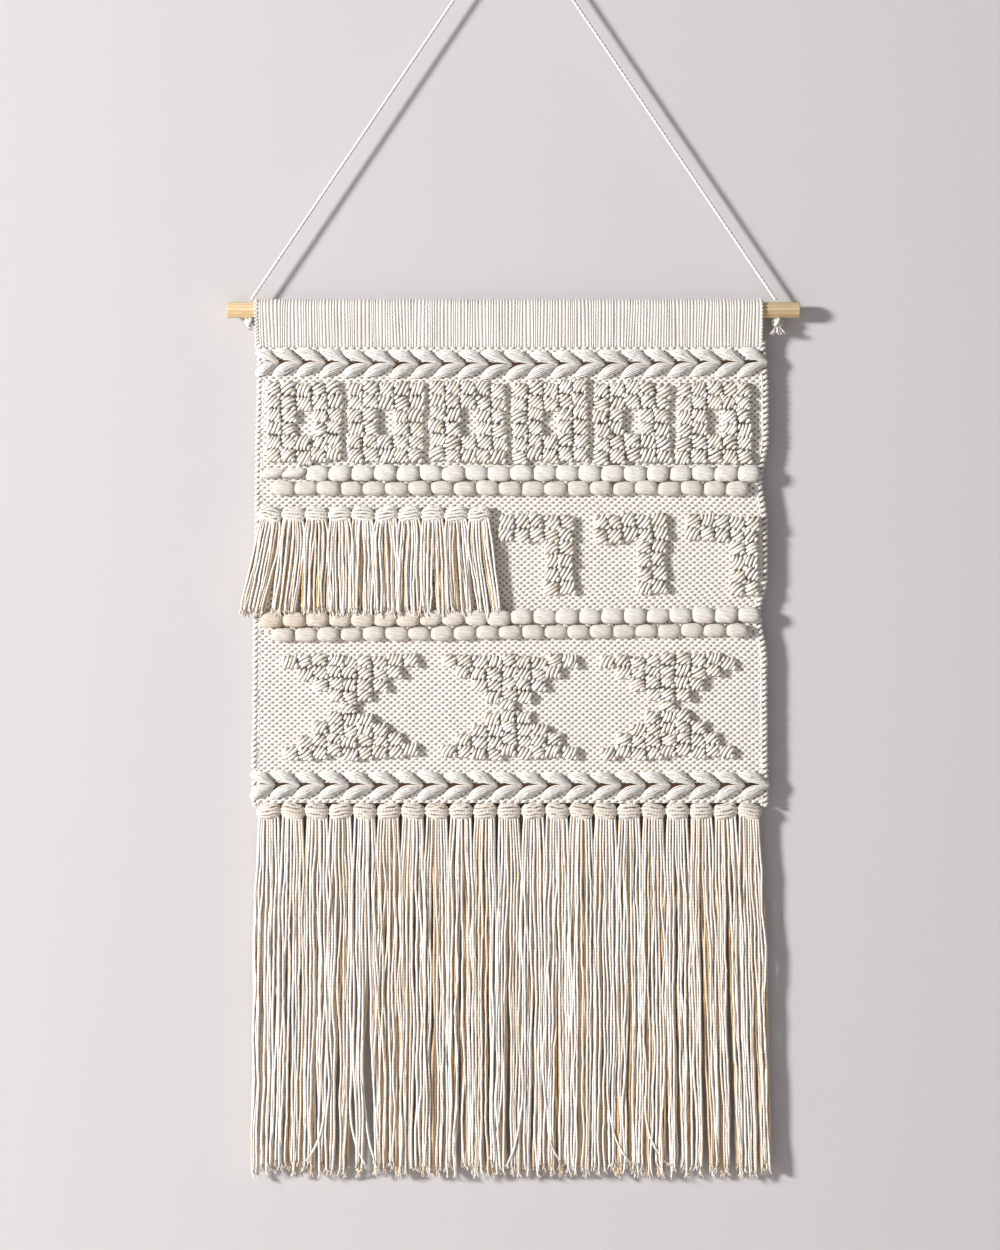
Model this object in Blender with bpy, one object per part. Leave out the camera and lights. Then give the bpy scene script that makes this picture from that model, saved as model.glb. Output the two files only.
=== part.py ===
"""Woven wall hanging on a wooden dowel: cord, rod, cloth and tassels as separate pieces.

Blender 4.5, metres, +Z up. The front faces -Y and the wall is behind, at +Y.
The origin is where the nail carries the bight of the hanging cord.
"""

import math

import bmesh
import bpy
from mathutils import Matrix, Vector

# Clearance between pieces that touch.
GAP = 0.0003

# Dowel: 12.7 mm (half inch) pine rod. It stands out past both ends of the sleeve.
DOWEL_DIAMETER = 0.0127
DOWEL_DROP = 0.3085
DOWEL_CHAMFER = 0.0004
DOWEL_OVERHANG = 0.02665
CORD_HOLE_INSET = 0.0174
CORD_HOLE_DIAMETER = 0.0032

# Hanging cord: its centreline passes through these points (x, z), left half only, from the rod up.
# It starts just above the hole, so that the rod can roll under it.
CORD_DIAMETER = 0.0024
CORD_HALF_ROUTE = (
    (-0.20648, -0.30049),
    (-0.1700, -0.24652),
    (-0.1300, -0.18734),
    (-0.0900, -0.12816),
    (-0.0500, -0.06898),
    (-0.0200, -0.02459),
    (-0.0090, -0.00840),
    (-0.0040, -0.00160),
)
CORD_BIGHT = (0.0, 0.0012)
CORD_SAMPLES = 4

# Overhand knots that hold the cord under the rod.
KNOT_RADIUS = 0.0047
KNOT_HEIGHT = 0.0064
LEFT_TAIL_RADIUS = 0.0014
LEFT_TAIL_LENGTH = 0.0035
RIGHT_TAIL_RADIUS = 0.0040
RIGHT_TAIL_LENGTH = 0.0065

# Cloth. It hangs a little left of the rod's middle, and its plane is a little behind the rod's axis.
CLOTH_WIDTH = 0.3967
CLOTH_SHIFT = -0.00355
CLOTH_Y = 0.0013
GROUND_THICKNESS = 0.0030
SLEEVE_DROP = 0.0291
SLEEVE_CLOTH = 0.0016
SLEEVE_SEAM_BAND = 0.0050
SLEEVE_SEAM_SLOT = 0.00015

# Selvedge cords: centrelines through (drop below the rod's axis, distance out from the sleeve's end).
SELVEDGE_RADIUS = 0.0016
SELVEDGE_STEPS = 26
LEFT_SELVEDGE = ((0.0295, -0.0024), (0.1415, -0.0007), (0.2715, 0.0009), (0.3885, 0.0021))
RIGHT_SELVEDGE = (
    (0.0295, 0.0017),
    (0.0635, 0.0040),
    (0.1015, 0.0040),
    (0.1335, -0.0010),
    (0.1665, 0.0030),
    (0.2115, 0.0032),
    (0.2375, -0.0020),
    (0.2765, 0.0030),
    (0.3465, 0.0034),
    (0.3885, 0.0038),
)

# Bands of braid and roving, in pairs of rows. The lower roving rises to the right.
BAND_INSET = 0.0030
BAND_SIDES = 6
BAND_NECK = 0.62
BRAID_HALF_HEIGHT = 0.0064
BRAID_HALF_DEPTH = 0.0028
BRAID_PITCH = 0.0177
BRAID_SLANT = 0.95
ROVING_HALF_HEIGHT = 0.0053
ROVING_HALF_DEPTH = 0.0042
ROVING_PITCH = 0.0177
LOWER_ROVING_RISE = 0.0040

# Loop pile motifs: each character is one cell of pile, "#" where there is pile.
PILE_DEPTH = 0.0045
FRAME_PATTERN = ("#####", "#####", "##.##", "##.##", "#####", "#####")
FRAME_COUNT = 6
FRAME_HEIGHT = 0.0622
FRAME_INSET = 0.0070
FRAME_SPACING = 0.0045
SEVEN_PATTERN = ("#####", "#####", "...##", "...##", "...##", "...##")
SEVEN_COUNT = 3
SEVEN_HEIGHT = 0.0614
SEVEN_INSET = 0.0018
SEVEN_SPACING = 0.01475
HOURGLASS_ROWS = 9
HOURGLASS_COUNT = 3
HOURGLASS_HEIGHT = 0.0803
HOURGLASS_INSET = 0.0202
HOURGLASS_SPACING = 0.0190

# Short fringe, knotted on the face of the cloth at its left side.
SHORT_COUNT = 10
SHORT_INSET = 0.0019
SHORT_FRINGE_WIDTH = 0.1819
SHORT_KNOT_RADIUS = 0.0042
SHORT_LENGTH = 0.0740
SHORT_SPREAD_LEFT = 0.0120
SHORT_SPREAD_RIGHT = 0.0050
SHORT_THICKNESS = 0.0044
SHORT_TO_SEVEN = 0.0075

# Long fringe, knotted along the lower edge.
LONG_COUNT = 21
LONG_KNOT_RADIUS = 0.0062
LONG_LENGTH = 0.2820
LONG_SPREAD_LEFT = 0.0050
LONG_SPREAD_RIGHT = 0.0130
LONG_THICKNESS = 0.0056

# Bare cloth between one band of the pattern and the next, from the top down.
BRAID_OVER_SEAM = 0.0005
BRAID_TO_FRAME = 0.0026
FRAME_TO_ROVING = 0.0049
ROVING_TO_SHORT_KNOT = 0.0122
ROVING_TO_SEVEN = 0.0156
SHORT_TIP_TO_ROVING = 0.0012
ROVING_TO_HOURGLASS = 0.0128
HOURGLASS_TO_BRAID = 0.0095
BRAID_TO_LOWER_EDGE = 0.0007

# Worked out from the sizes above.
DOWEL_RADIUS = DOWEL_DIAMETER / 2
DOWEL_LENGTH = CLOTH_WIDTH + 2 * DOWEL_OVERHANG
CORD_HOLE_X = DOWEL_LENGTH / 2 - CORD_HOLE_INSET
ROD_AXIS = Vector((0, 0, -DOWEL_DROP))
CORD_EXIT_Z = -DOWEL_DROP + DOWEL_RADIUS
ROD_PIVOT = Vector((0, 0, CORD_EXIT_Z))
LEFT_EDGE = CLOTH_SHIFT - CLOTH_WIDTH / 2
RIGHT_EDGE = CLOTH_SHIFT + CLOTH_WIDTH / 2
SHORT_LEFT = LEFT_EDGE + SHORT_INSET
SHORT_RIGHT = SHORT_LEFT + SHORT_FRINGE_WIDTH
GROUND_FRONT = CLOTH_Y - GROUND_THICKNESS / 2
FACE_Y = GROUND_FRONT - GAP
BRAID_PAIR_HEIGHT = 4 * BRAID_HALF_HEIGHT + GAP
ROVING_PAIR_HEIGHT = 4 * ROVING_HALF_HEIGHT + GAP

# Levels, as drops below the nail.
SEAM_DROP = DOWEL_DROP + SLEEVE_DROP
TOP_BRAID_DROP = SEAM_DROP - BRAID_OVER_SEAM + BRAID_PAIR_HEIGHT / 2
FRAME_DROP = TOP_BRAID_DROP + BRAID_PAIR_HEIGHT / 2 + BRAID_TO_FRAME + FRAME_HEIGHT / 2
UPPER_ROVING_DROP = FRAME_DROP + FRAME_HEIGHT / 2 + FRAME_TO_ROVING + ROVING_PAIR_HEIGHT / 2
UPPER_ROVING_END = UPPER_ROVING_DROP + ROVING_PAIR_HEIGHT / 2
SHORT_KNOT_DROP = UPPER_ROVING_END + ROVING_TO_SHORT_KNOT + SHORT_KNOT_RADIUS
SEVEN_DROP = UPPER_ROVING_END + ROVING_TO_SEVEN + SEVEN_HEIGHT / 2
LOWER_ROVING_DROP = SHORT_KNOT_DROP + SHORT_LENGTH + SHORT_TIP_TO_ROVING + ROVING_PAIR_HEIGHT / 2
HOURGLASS_DROP = LOWER_ROVING_DROP + ROVING_PAIR_HEIGHT / 2 + ROVING_TO_HOURGLASS + HOURGLASS_HEIGHT / 2
BOTTOM_BRAID_DROP = HOURGLASS_DROP + HOURGLASS_HEIGHT / 2 + HOURGLASS_TO_BRAID + BRAID_PAIR_HEIGHT / 2
LOWER_EDGE_DROP = BOTTOM_BRAID_DROP + BRAID_PAIR_HEIGHT / 2 + BRAID_TO_LOWER_EDGE
LONG_KNOT_DROP = LOWER_EDGE_DROP + GAP + LONG_KNOT_RADIUS


def clear_scene():
    for obj in list(bpy.data.objects):
        bpy.data.objects.remove(obj)


def make_material(name, colour, roughness):
    material = bpy.data.materials.new(name)
    material.use_nodes = True
    shader = material.node_tree.nodes["Principled BSDF"]
    shader.inputs["Base Color"].default_value = (*colour, 1)
    shader.inputs["Roughness"].default_value = roughness
    shader.inputs["Metallic"].default_value = 0
    material.diffuse_color = (*colour, 1)
    return material


def make_pivot(name, point, parent=None):
    """An empty on a hinge's axis, which carries the pieces that turn about it."""
    pivot = bpy.data.objects.new(name, None)
    bpy.context.scene.collection.objects.link(pivot)
    pivot.parent = parent
    pivot["point"] = point
    pivot.location = point - (Vector(parent["point"]) if parent else Vector())
    return pivot


def add_piece(name, bm, material, pivot=None, origin=None):
    """Makes an object of a bmesh that stands at its place. Its origin is on its pivot, or at origin."""
    carrier = Vector(pivot["point"]) if pivot else Vector()
    origin = carrier if origin is None else origin
    bmesh.ops.recalc_face_normals(bm, faces=bm.faces)
    bmesh.ops.translate(bm, verts=bm.verts, vec=-origin)
    mesh = bpy.data.meshes.new(name)
    bm.to_mesh(mesh)
    bm.free()
    piece = bpy.data.objects.new(name, mesh)
    bpy.context.scene.collection.objects.link(piece)
    piece.data.materials.append(material)
    piece.parent = pivot
    piece.location = origin - carrier
    return piece


def turned(profile, axis, steps):
    """A bmesh of the profile's points, which start and end on the axis, turned once round it."""
    bm = bmesh.new()
    verts = [bm.verts.new(point) for point in profile]
    edges = [bm.edges.new(pair) for pair in zip(verts, verts[1:])]
    bmesh.ops.spin(
        bm, geom=verts + edges, cent=(0, 0, 0), axis=axis, angle=math.tau, steps=steps, use_merge=True
    )
    bmesh.ops.remove_doubles(bm, verts=bm.verts, dist=1e-6)
    return bm


def smooth_curve(points, samples):
    """Points read from a smooth curve (Catmull-Rom) through the given ones."""
    path = [Vector(point) for point in points]
    ends = [2 * path[0] - path[1], *path, 2 * path[-1] - path[-2]]
    curve = []
    for before, here, there, after in zip(ends, ends[1:], ends[2:], ends[3:]):
        for step in range(samples):
            t = step / samples
            along = (there - before) / 2
            bend = before - 2.5 * here + 2 * there - after / 2
            turn = (after - before + 3 * (here - there)) / 2
            curve.append(here + t * along + t * t * bend + t**3 * turn)
    return curve + [path[-1]]


def distance_out(points, z):
    """How far out a selvedge lies at this height, eased between its given points."""
    drop = -z - DOWEL_DROP
    for (upper, out_upper), (lower, out_lower) in zip(points, points[1:]):
        if drop <= lower:
            share = max(0.0, (drop - upper) / (lower - upper))
            return out_upper + (out_lower - out_upper) * (1 - math.cos(math.pi * share)) / 2
    return points[-1][1]


def left_edge_x(z):
    return LEFT_EDGE - distance_out(LEFT_SELVEDGE, z)


def right_edge_x(z):
    return RIGHT_EDGE + distance_out(RIGHT_SELVEDGE, z)


def tube(name, points, diameter, resolution, material, pivot=None):
    """A round cord as a curve object with filled caps."""
    curve = bpy.data.curves.new(name, "CURVE")
    curve.dimensions = "3D"
    curve.bevel_depth = diameter / 2
    curve.bevel_resolution = resolution
    curve.use_fill_caps = True
    spline = curve.splines.new("POLY")
    spline.points.add(len(points) - 1)
    origin = Vector(pivot["point"]) if pivot else Vector()
    for place, point in zip(spline.points, points):
        place.co = (*(point - origin), 1)
    cord = bpy.data.objects.new(name, curve)
    bpy.context.scene.collection.objects.link(cord)
    curve.materials.append(material)
    cord.parent = pivot
    return cord


def slots(left, right, count, spacing=0.0):
    """Centres and width of count equal places from left to right, with this spacing between them."""
    pitch = (right - left + spacing) / count
    width = pitch - spacing
    return [left + width / 2 + pitch * index for index in range(count)], width


def make_hanging_cord(material):
    left = list(CORD_HALF_ROUTE)
    right = [(-x, z) for x, z in reversed(left)]
    route = [(x, 0, z) for x, z in left + [CORD_BIGHT] + right]
    return tube("hanging_cord", smooth_curve(route, CORD_SAMPLES), CORD_DIAMETER, 2, material)


def make_dowel(material, pivot):
    half = DOWEL_LENGTH / 2
    shoulder = DOWEL_RADIUS - DOWEL_CHAMFER
    left_end = [(-half, 0, 0), (-half, 0, shoulder), (-half + DOWEL_CHAMFER, 0, DOWEL_RADIUS)]
    right_end = [(-x, 0, z) for x, _, z in reversed(left_end)]
    bm = turned(left_end + right_end, (1, 0, 0), 48)
    bmesh.ops.translate(bm, verts=bm.verts, vec=ROD_AXIS)
    dowel = add_piece("dowel", bm, material, pivot)
    for side in (-1, 1):
        hole = bmesh.new()
        bmesh.ops.create_cone(
            hole,
            cap_ends=True,
            segments=16,
            radius1=CORD_HOLE_DIAMETER / 2,
            radius2=CORD_HOLE_DIAMETER / 2,
            depth=2 * DOWEL_DIAMETER,
        )
        centre = ROD_AXIS + Vector((side * CORD_HOLE_X, 0, 0))
        bmesh.ops.translate(hole, verts=hole.verts, vec=centre)
        cutter = add_piece("hole_cutter", hole, material, pivot)
        cutter.hide_render = True
        cutter.display_type = "WIRE"
        cut = dowel.modifiers.new("cord_hole", "BOOLEAN")
        cut.object = cutter
        cut.solver = "EXACT"
    dowel.data.shade_smooth()
    dowel.data.set_sharp_from_angle(angle=math.radians(35))
    return dowel


def make_cord_knot(name, side, tail_radius, tail_length, material, pivot):
    """The cord's end: its stretch through the rod, domed where it leaves, the knot, and the tail below."""
    strand = CORD_DIAMETER / 2
    seat = CORD_EXIT_Z - DOWEL_DIAMETER - GAP
    low = seat - KNOT_HEIGHT
    profile = [
        (0, CORD_EXIT_Z + strand),
        (0.7 * strand, CORD_EXIT_Z + 0.7 * strand),
        (strand, CORD_EXIT_Z),
        (strand, seat),
        (0.72 * KNOT_RADIUS, seat - 0.06 * KNOT_HEIGHT),
        (KNOT_RADIUS, seat - 0.42 * KNOT_HEIGHT),
        (0.8 * KNOT_RADIUS, seat - 0.8 * KNOT_HEIGHT),
        (strand, low),
        (tail_radius, low - tail_length),
        (0, low - tail_length),
    ]
    bm = turned([(radius, 0, z) for radius, z in profile], (0, 0, 1), 12)
    bmesh.ops.translate(bm, verts=bm.verts, vec=(side * CORD_HOLE_X, 0, 0))
    return add_piece(name, bm, material, pivot)


def teardrop(radius, half_seam, seam_drop):
    """Points (y, z) of a loop over the rod that closes to a seam below it."""
    centre = Vector((0, -DOWEL_DROP))
    angles = []
    for side in (1, -1):
        seam = Vector((CLOTH_Y + side * half_seam, -seam_drop)) - centre
        angles.append(math.atan2(seam.y, seam.x) + side * math.acos(radius / seam.length))
    start, end = angles[0], angles[1] + math.tau
    steps = 24
    arc = [start + (end - start) * step / steps for step in range(steps + 1)]
    points = [centre + radius * Vector((math.cos(angle), math.sin(angle))) for angle in arc]
    points.append(Vector((CLOTH_Y - half_seam, -seam_drop)))
    points.append(Vector((CLOTH_Y + half_seam, -seam_drop)))
    return points


def make_sleeve(material, pivot):
    inner = DOWEL_RADIUS + GAP
    outer_loop = teardrop(inner + SLEEVE_CLOTH, SLEEVE_CLOTH, SEAM_DROP)
    inner_loop = teardrop(inner, SLEEVE_SEAM_SLOT, SEAM_DROP - SLEEVE_SEAM_BAND)
    bm = bmesh.new()
    edges = []
    for loop in (outer_loop, inner_loop):
        verts = [bm.verts.new((LEFT_EDGE, *point)) for point in loop]
        edges += [bm.edges.new(pair) for pair in zip(verts, verts[1:] + verts[:1])]
    end = bmesh.ops.bridge_loops(bm, edges=edges)["faces"]
    bmesh.ops.triangulate(bm, faces=end)
    grown = bmesh.ops.extrude_face_region(bm, geom=list(bm.faces))["geom"]
    moved = [item for item in grown if isinstance(item, bmesh.types.BMVert)]
    bmesh.ops.translate(bm, verts=moved, vec=(CLOTH_WIDTH, 0, 0))
    return add_piece("header_sleeve", bm, material, pivot)


def upright_grid(columns, rows, centre_x, centre_z, width, height):
    """A bmesh of one flat sheet of cells in the plane y = 0."""
    bm = bmesh.new()
    stand = Matrix.Translation((centre_x, 0, centre_z)) @ Matrix.Rotation(math.pi / 2, 4, "X")
    size = Matrix.Diagonal((width, height, 1, 1))
    bmesh.ops.create_grid(bm, x_segments=columns, y_segments=rows, size=0.5, matrix=stand @ size)
    return bm


def thickened(bm, back, front):
    """Gives a sheet in the plane y = 0 its depth, from back to front."""
    bmesh.ops.translate(bm, verts=bm.verts, vec=(0, back, 0))
    grown = bmesh.ops.extrude_face_region(bm, geom=list(bm.faces))["geom"]
    moved = [item for item in grown if isinstance(item, bmesh.types.BMVert)]
    bmesh.ops.translate(bm, verts=moved, vec=(0, front - back, 0))
    return bm


def make_ground(material, pivot):
    height = LOWER_EDGE_DROP - SEAM_DROP - GAP
    bm = upright_grid(1, SELVEDGE_STEPS, 0, -LOWER_EDGE_DROP + height / 2, 1, height)
    inset = SELVEDGE_RADIUS + GAP
    for vert in bm.verts:
        if vert.co.x < 0:
            vert.co.x = left_edge_x(vert.co.z) + inset
        else:
            vert.co.x = right_edge_x(vert.co.z) - inset
    thickened(bm, CLOTH_Y + GROUND_THICKNESS / 2, GROUND_FRONT)
    return add_piece("woven_ground", bm, material, pivot)


def make_selvedge(name, edge, material, pivot):
    top, height = -SEAM_DROP - GAP, LOWER_EDGE_DROP - SEAM_DROP - GAP
    levels = [top - height * step / SELVEDGE_STEPS for step in range(SELVEDGE_STEPS + 1)]
    route = [Vector((edge(z), CLOTH_Y, z)) for z in levels]
    return tube(name, route, 2 * SELVEDGE_RADIUS, 1, material, pivot)


def make_band_row(
    name, drop, half_height, half_depth, pitch, neck, phase, slant, rise, material, pivot
):
    """A row of plump yarn bumps along X. slant leans each bump, and rise lifts the row's right end."""
    left, right = LEFT_EDGE + BAND_INSET, RIGHT_EDGE - BAND_INSET
    count = round((right - left) / pitch)
    pitch = (right - left) / count
    profile = [(left + phase * pitch / 2, 0, 0)]
    for bump in range(count - phase):
        start = left + (bump + phase / 2) * pitch
        profile.append((start + 0.04 * pitch, 0, neck))
        profile += [(start + 0.3 * pitch, 0, 1), (start + 0.7 * pitch, 0, 1)]
    profile += [(start + 0.96 * pitch, 0, neck), (start + pitch, 0, 0)]
    bm = turned(profile, (1, 0, 0), BAND_SIDES)
    for vert in bm.verts:
        lift = rise * (vert.co.x - CLOTH_SHIFT) / (right - left)
        vert.co.x += slant * vert.co.z * half_height
        vert.co.y = vert.co.y * half_depth + FACE_Y - half_depth
        vert.co.z = vert.co.z * half_height - drop + lift
    return add_piece(name, bm, material, pivot)


def make_bands(braid, white_roving, beige_roving, pivot):
    braid_step = BRAID_HALF_HEIGHT + GAP / 2
    for place, drop in (("top", TOP_BRAID_DROP), ("bottom", BOTTOM_BRAID_DROP)):
        for row, side in (("upper", -1), ("lower", 1)):
            make_band_row(
                f"{place}_braid_{row}_row",
                drop + side * braid_step,
                BRAID_HALF_HEIGHT,
                BRAID_HALF_DEPTH,
                BRAID_PITCH,
                BAND_NECK,
                0,
                side * BRAID_SLANT,
                0,
                braid,
                pivot,
            )
    roving_step = ROVING_HALF_HEIGHT + GAP / 2
    for place, drop, rise in (
        ("upper", UPPER_ROVING_DROP, 0),
        ("lower", LOWER_ROVING_DROP, LOWER_ROVING_RISE),
    ):
        for row, side, phase, material in (("white", -1, 0, white_roving), ("beige", 1, 1, beige_roving)):
            make_band_row(
                f"{place}_roving_{row}_row",
                drop + side * roving_step,
                ROVING_HALF_HEIGHT,
                ROVING_HALF_DEPTH,
                ROVING_PITCH,
                BAND_NECK,
                phase,
                0,
                rise,
                material,
                pivot,
            )


def hourglass_pattern():
    """Rows of pile that narrow to one cell at the waist and widen again."""
    waist = HOURGLASS_ROWS // 2
    rows = []
    for row in range(HOURGLASS_ROWS):
        bare = "." * (waist - abs(row - waist))
        rows.append(bare + "#" * (HOURGLASS_ROWS - 2 * len(bare)) + bare)
    return tuple(rows)


def make_motif(name, pattern, x, drop, width, height, material, pivot):
    rows, columns = len(pattern), len(pattern[0])
    bm = upright_grid(columns, rows, x, -drop, width, height)
    bare = []
    for face in bm.faces:
        centre = face.calc_center_median()
        column = int((centre.x - x + width / 2) / width * columns)
        row = int((-drop + height / 2 - centre.z) / height * rows)
        if pattern[row][column] == ".":
            bare.append(face)
    bmesh.ops.delete(bm, geom=bare, context="FACES")
    thickened(bm, FACE_Y, FACE_Y - PILE_DEPTH)
    return add_piece(name, bm, material, pivot)


def make_motif_row(name, pattern, count, left, right, spacing, drop, height, material, pivot):
    centres, width = slots(left, right, count, spacing)
    for number, x in enumerate(centres, 1):
        make_motif(f"{name}_{number}", pattern, x, drop, width, height, material, pivot)


def make_motifs(material, pivot):
    make_motif_row(
        "frame_motif",
        FRAME_PATTERN,
        FRAME_COUNT,
        LEFT_EDGE + FRAME_INSET,
        RIGHT_EDGE - FRAME_INSET,
        FRAME_SPACING,
        FRAME_DROP,
        FRAME_HEIGHT,
        material,
        pivot,
    )
    make_motif_row(
        "seven_motif",
        SEVEN_PATTERN,
        SEVEN_COUNT,
        SHORT_RIGHT + SHORT_TO_SEVEN,
        RIGHT_EDGE - SEVEN_INSET,
        SEVEN_SPACING,
        SEVEN_DROP,
        SEVEN_HEIGHT,
        material,
        pivot,
    )
    make_motif_row(
        "hourglass_motif",
        hourglass_pattern(),
        HOURGLASS_COUNT,
        LEFT_EDGE + HOURGLASS_INSET,
        RIGHT_EDGE - HOURGLASS_INSET,
        HOURGLASS_SPACING,
        HOURGLASS_DROP,
        HOURGLASS_HEIGHT,
        material,
        pivot,
    )


def make_tassel(name, hinge, radius, half_slot, length, thickness, spread, material, pivot):
    """A knot turned about its hinge's axis, with the yarns drawn down from its underside.

    spread is how far the left and the right side move out by the tip.
    """
    neck = 0.55 * half_slot
    profile = [
        (-half_slot, 0, 0),
        (-half_slot, 0, 0.6 * radius),
        (-neck, 0, radius),
        (neck, 0, radius),
        (half_slot, 0, 0.6 * radius),
        (half_slot, 0, 0),
    ]
    bm = turned(profile, (1, 0, 0), 10)
    bottom = -0.7 * radius
    underside = [
        face
        for face in bm.faces
        if face.calc_center_median().z < bottom and abs(face.calc_center_median().x) < 0.1 * neck
    ]
    knot_half_depth = radius * math.sin(math.tau / 10)
    for drop, half_width, depth, share in (
        (1.25 * radius, neck, 0.8 * knot_half_depth, 0),
        (1.25 * radius + 2 * half_slot, half_slot, thickness / 2, 0.1),
        (length, half_slot, thickness / 2, 1),
    ):
        grown = bmesh.ops.extrude_face_region(bm, geom=underside)["geom"]
        bmesh.ops.delete(bm, geom=underside, context="FACES")
        underside = [item for item in grown if isinstance(item, bmesh.types.BMFace)]
        for vert in (item for item in grown if isinstance(item, bmesh.types.BMVert)):
            right = vert.co.x > 0
            vert.co.x = (half_width + spread[right] * share) * (1 if right else -1)
            vert.co.y = depth * (0 if abs(vert.co.y) < 1e-6 else math.copysign(1, vert.co.y))
            vert.co.z = -drop
    bmesh.ops.translate(bm, verts=bm.verts, vec=hinge)
    return add_piece(name, bm, material, pivot, origin=hinge)


def make_fringe(
    name, count, left, right, hinge_y, drop, radius, length, thickness, spread, material, pivot
):
    """A line of tassels. Only the outermost two spread, each to its own side."""
    centres, width = slots(left, right, count, 2 * GAP)
    half_slot = width / 2
    for number, x in enumerate(centres, 1):
        own = (spread[0] if number == 1 else 0, spread[1] if number == count else 0)
        hinge = Vector((x, hinge_y, -drop))
        tassel = f"{name}_{number:02d}"
        make_tassel(tassel, hinge, radius, half_slot, length, thickness, own, material, pivot)


def main():
    clear_scene()
    pine = make_material("pine", (0.80, 0.62, 0.36), 0.55)
    twine = make_material("cotton_twine", (0.82, 0.78, 0.70), 0.9)
    canvas = make_material("woven_cotton", (0.80, 0.75, 0.66), 0.92)
    selvedge = make_material("selvedge_cotton", (0.85, 0.82, 0.75), 0.9)
    braid = make_material("braid_cotton", (0.82, 0.76, 0.67), 0.9)
    white_roving = make_material("white_roving", (0.88, 0.86, 0.81), 0.95)
    beige_roving = make_material("beige_roving", (0.83, 0.78, 0.70), 0.95)
    pile = make_material("loop_pile", (0.80, 0.73, 0.62), 0.95)
    fringe = make_material("fringe_cotton", (0.80, 0.74, 0.63), 0.9)

    rod = make_pivot("rod_pivot", ROD_PIVOT)
    cloth = make_pivot("cloth_pivot", ROD_AXIS, rod)

    make_hanging_cord(twine)
    make_dowel(pine, rod)
    make_cord_knot("left_cord_knot", -1, LEFT_TAIL_RADIUS, LEFT_TAIL_LENGTH, twine, rod)
    make_cord_knot("right_cord_knot", 1, RIGHT_TAIL_RADIUS, RIGHT_TAIL_LENGTH, twine, rod)
    make_sleeve(canvas, cloth)
    make_ground(canvas, cloth)
    make_selvedge("left_selvedge", left_edge_x, selvedge, cloth)
    make_selvedge("right_selvedge", right_edge_x, selvedge, cloth)
    make_bands(braid, white_roving, beige_roving, cloth)
    make_motifs(pile, cloth)
    make_fringe(
        "short_tassel",
        SHORT_COUNT,
        SHORT_LEFT,
        SHORT_RIGHT,
        FACE_Y - SHORT_KNOT_RADIUS,
        SHORT_KNOT_DROP,
        SHORT_KNOT_RADIUS,
        SHORT_LENGTH,
        SHORT_THICKNESS,
        (SHORT_SPREAD_LEFT, SHORT_SPREAD_RIGHT),
        fringe,
        cloth,
    )
    make_fringe(
        "long_tassel",
        LONG_COUNT,
        LEFT_EDGE,
        RIGHT_EDGE,
        CLOTH_Y,
        LONG_KNOT_DROP,
        LONG_KNOT_RADIUS,
        LONG_LENGTH,
        LONG_THICKNESS,
        (LONG_SPREAD_LEFT, LONG_SPREAD_RIGHT),
        fringe,
        cloth,
    )


main()
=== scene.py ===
"""Fringed wall hanging: the finished yarn, cloth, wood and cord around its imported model.

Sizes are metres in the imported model's frame: +Z up, the face towards -Y, the nail at the origin.
"""

import math
import random
from collections import namedtuple

import bmesh
import bpy
from mathutils import Matrix, Vector, noise
from mathutils.bvhtree import BVHTree


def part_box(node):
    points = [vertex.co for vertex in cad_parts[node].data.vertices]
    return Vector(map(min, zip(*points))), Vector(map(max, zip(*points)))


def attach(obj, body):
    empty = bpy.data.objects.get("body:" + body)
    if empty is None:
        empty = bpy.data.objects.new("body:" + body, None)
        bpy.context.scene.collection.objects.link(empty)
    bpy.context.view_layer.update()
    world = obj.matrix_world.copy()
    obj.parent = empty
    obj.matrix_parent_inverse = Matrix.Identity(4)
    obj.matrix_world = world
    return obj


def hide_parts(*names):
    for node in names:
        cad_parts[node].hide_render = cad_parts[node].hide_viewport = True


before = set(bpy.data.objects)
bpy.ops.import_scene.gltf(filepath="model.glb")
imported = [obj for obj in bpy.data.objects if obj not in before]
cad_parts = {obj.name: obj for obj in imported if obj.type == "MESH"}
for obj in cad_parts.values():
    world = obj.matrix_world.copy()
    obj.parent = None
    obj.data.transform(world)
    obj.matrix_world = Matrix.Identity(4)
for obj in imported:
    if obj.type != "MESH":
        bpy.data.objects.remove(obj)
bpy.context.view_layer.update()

bl_info = {
    "name": "Fringed Wall Hanging",
    "version": (1, 0, 0),
    "blender": (4, 5, 0),
    "location": "3D View > Sidebar > Hanging",
    "description": "Makes the yarns, cloth, rod and cord of a fringed wall hanging",
    "category": "Add Mesh",
}

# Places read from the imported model.
ROD_LOW, ROD_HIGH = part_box("dowel")
ROD_CENTRE = (ROD_LOW + ROD_HIGH) / 2
ROD_RADIUS = (ROD_HIGH.z - ROD_LOW.z) / 2
SLEEVE_LOW, SLEEVE_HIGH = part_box("header_sleeve")
LEFT_EDGE, RIGHT_EDGE = SLEEVE_LOW.x, SLEEVE_HIGH.x
CLOTH_WIDTH = RIGHT_EDGE - LEFT_EDGE
SEAM_Z = SLEEVE_LOW.z
GROUND_LOW, GROUND_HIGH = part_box("woven_ground")
FRONT_Y, BACK_Y = GROUND_LOW.y, GROUND_HIGH.y
CLOTH_Y = (FRONT_Y + BACK_Y) / 2
LOWER_EDGE_Z = GROUND_LOW.z
SHORT_COUNT = sum(name.startswith("short_tassel_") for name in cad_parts)
LONG_COUNT = sum(name.startswith("long_tassel_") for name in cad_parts)

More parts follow.
